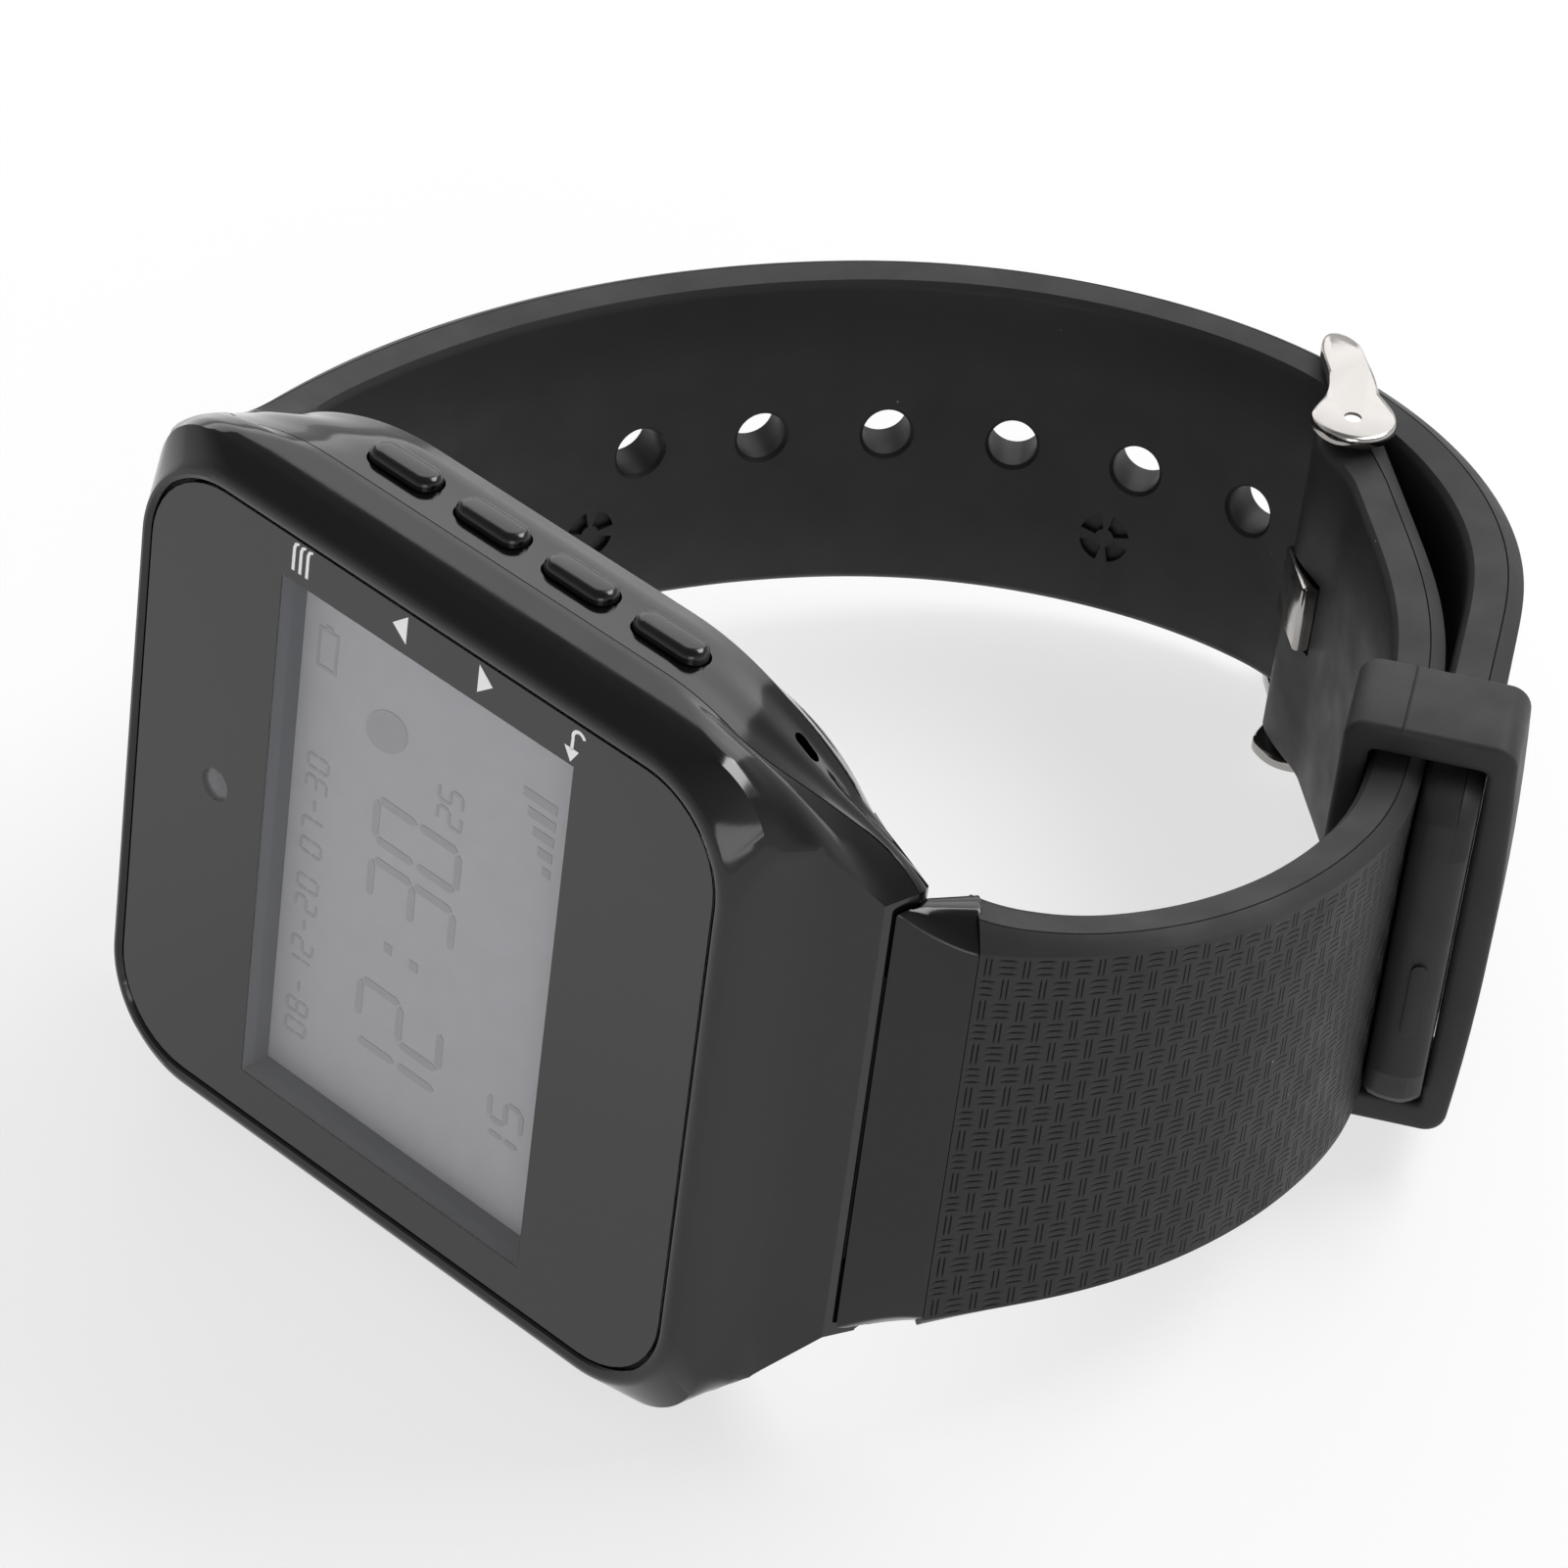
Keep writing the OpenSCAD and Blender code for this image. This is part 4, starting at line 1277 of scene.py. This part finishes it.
def aimed(at, aim, roll=0.0):
    """Matrix of a camera or light at one point, aimed at another, level to the floor."""
    at, aim = Vector(at), Vector(aim)
    turn = (aim - at).to_track_quat("-Z", "Y").to_matrix().to_4x4()
    return Matrix.Translation(at) @ turn @ Matrix.Rotation(math.radians(roll), 4, "Z")


def camera():
    data = bpy.data.cameras.new("camera")
    data.lens = CAMERA_LENS
    data.sensor_width = 36
    data.clip_start = 0.01
    data.clip_end = 50
    eye = bpy.data.objects.new("camera", data)
    eye.matrix_world = aimed(rowed([CAMERA_AT])[0], rowed([CAMERA_AIM])[0], CAMERA_ROLL)
    bpy.context.scene.collection.objects.link(eye)
    bpy.context.scene.camera = eye


def floor():
    size = 3.0
    mesh = bpy.data.meshes.new("floor")
    mesh.from_pydata([(-size, -size, 0), (size, -size, 0), (size, size, 0), (-size, size, 0)],
                     [], [(0, 1, 2, 3)])
    plane = bpy.data.objects.new("floor", mesh)
    material = new_material("floor_pale", (0.34, 0.34, 0.34), 0.9, specular=0.1)
    shader = material.node_tree.nodes["Principled BSDF"]
    shader.inputs["Emission Color"].default_value = (1, 1, 1, 1)
    shader.inputs["Emission Strength"].default_value = 0.68
    mesh.materials.append(material)
    bpy.context.scene.collection.objects.link(plane)


def area_light(name, azimuth, elevation, distance, size, power):
    """A soft light on the object; azimuth 0 stands in front, at -Y, and 90 at +X."""
    data = bpy.data.lights.new(name, "AREA")
    data.shape = "RECTANGLE"
    data.size, data.size_y = size
    data.energy = power
    a, e = math.radians(azimuth), math.radians(elevation)
    at = Vector((math.sin(a) * math.cos(e), -math.cos(a) * math.cos(e), math.sin(e))) * distance
    light = bpy.data.objects.new(name, data)
    light.matrix_world = aimed(at, (0, 0, 0.02))
    bpy.context.scene.collection.objects.link(light)


def sky():
    """A pale studio: bright round the horizon, dimmer overhead."""
    world = bpy.data.worlds.new("studio")
    world.use_nodes = True
    tree = world.node_tree
    place = tree.nodes.new("ShaderNodeTexCoord")
    parts = tree.nodes.new("ShaderNodeSeparateXYZ")
    ramp = tree.nodes.new("ShaderNodeValToRGB")
    tree.links.new(place.outputs["Generated"], parts.inputs["Vector"])
    tree.links.new(parts.outputs["Z"], ramp.inputs["Fac"])
    tree.links.new(ramp.outputs["Color"], tree.nodes["Background"].inputs["Color"])
    stops = ((0.0, 1.0), (0.25, 0.9), (0.5, 0.55), (0.8, 0.3), (1.0, 0.28))
    elements = ramp.color_ramp.elements
    for k, (place_at, value) in enumerate(stops):
        element = elements[k] if k < 2 else elements.new(place_at)
        element.position = place_at
        element.color = (value, value, value, 1)
    tree.nodes["Background"].inputs["Strength"].default_value = 0.75
    bpy.context.scene.world = world


camera()
floor()
sky()
area_light("soft_left_back", 216, 30, 1.3, (1.2, 0.8), 4.8)
area_light("soft_right_front", 43, 18, 1.2, (0.6, 0.45), 2)
area_light("rim_back", 165, 50, 1.2, (0.8, 0.4), 9)
bpy.context.scene.view_settings.view_transform = "Standard"

front_shell()
rear_shell()
cover_glass()
printed_mask()
lcd()
lcd_ink()
key_symbols()
light_pipe()
for button_name in BUTTONS:
    button(button_name)
link_piece("link_12_gloss", "strap_link_12", place_12)
link_piece("link_6_gloss", "strap_link_6", place_6)
strap_long()
strap_short()
keeper()
buckle_frame()
buckle_prong()
dress_inner_parts()
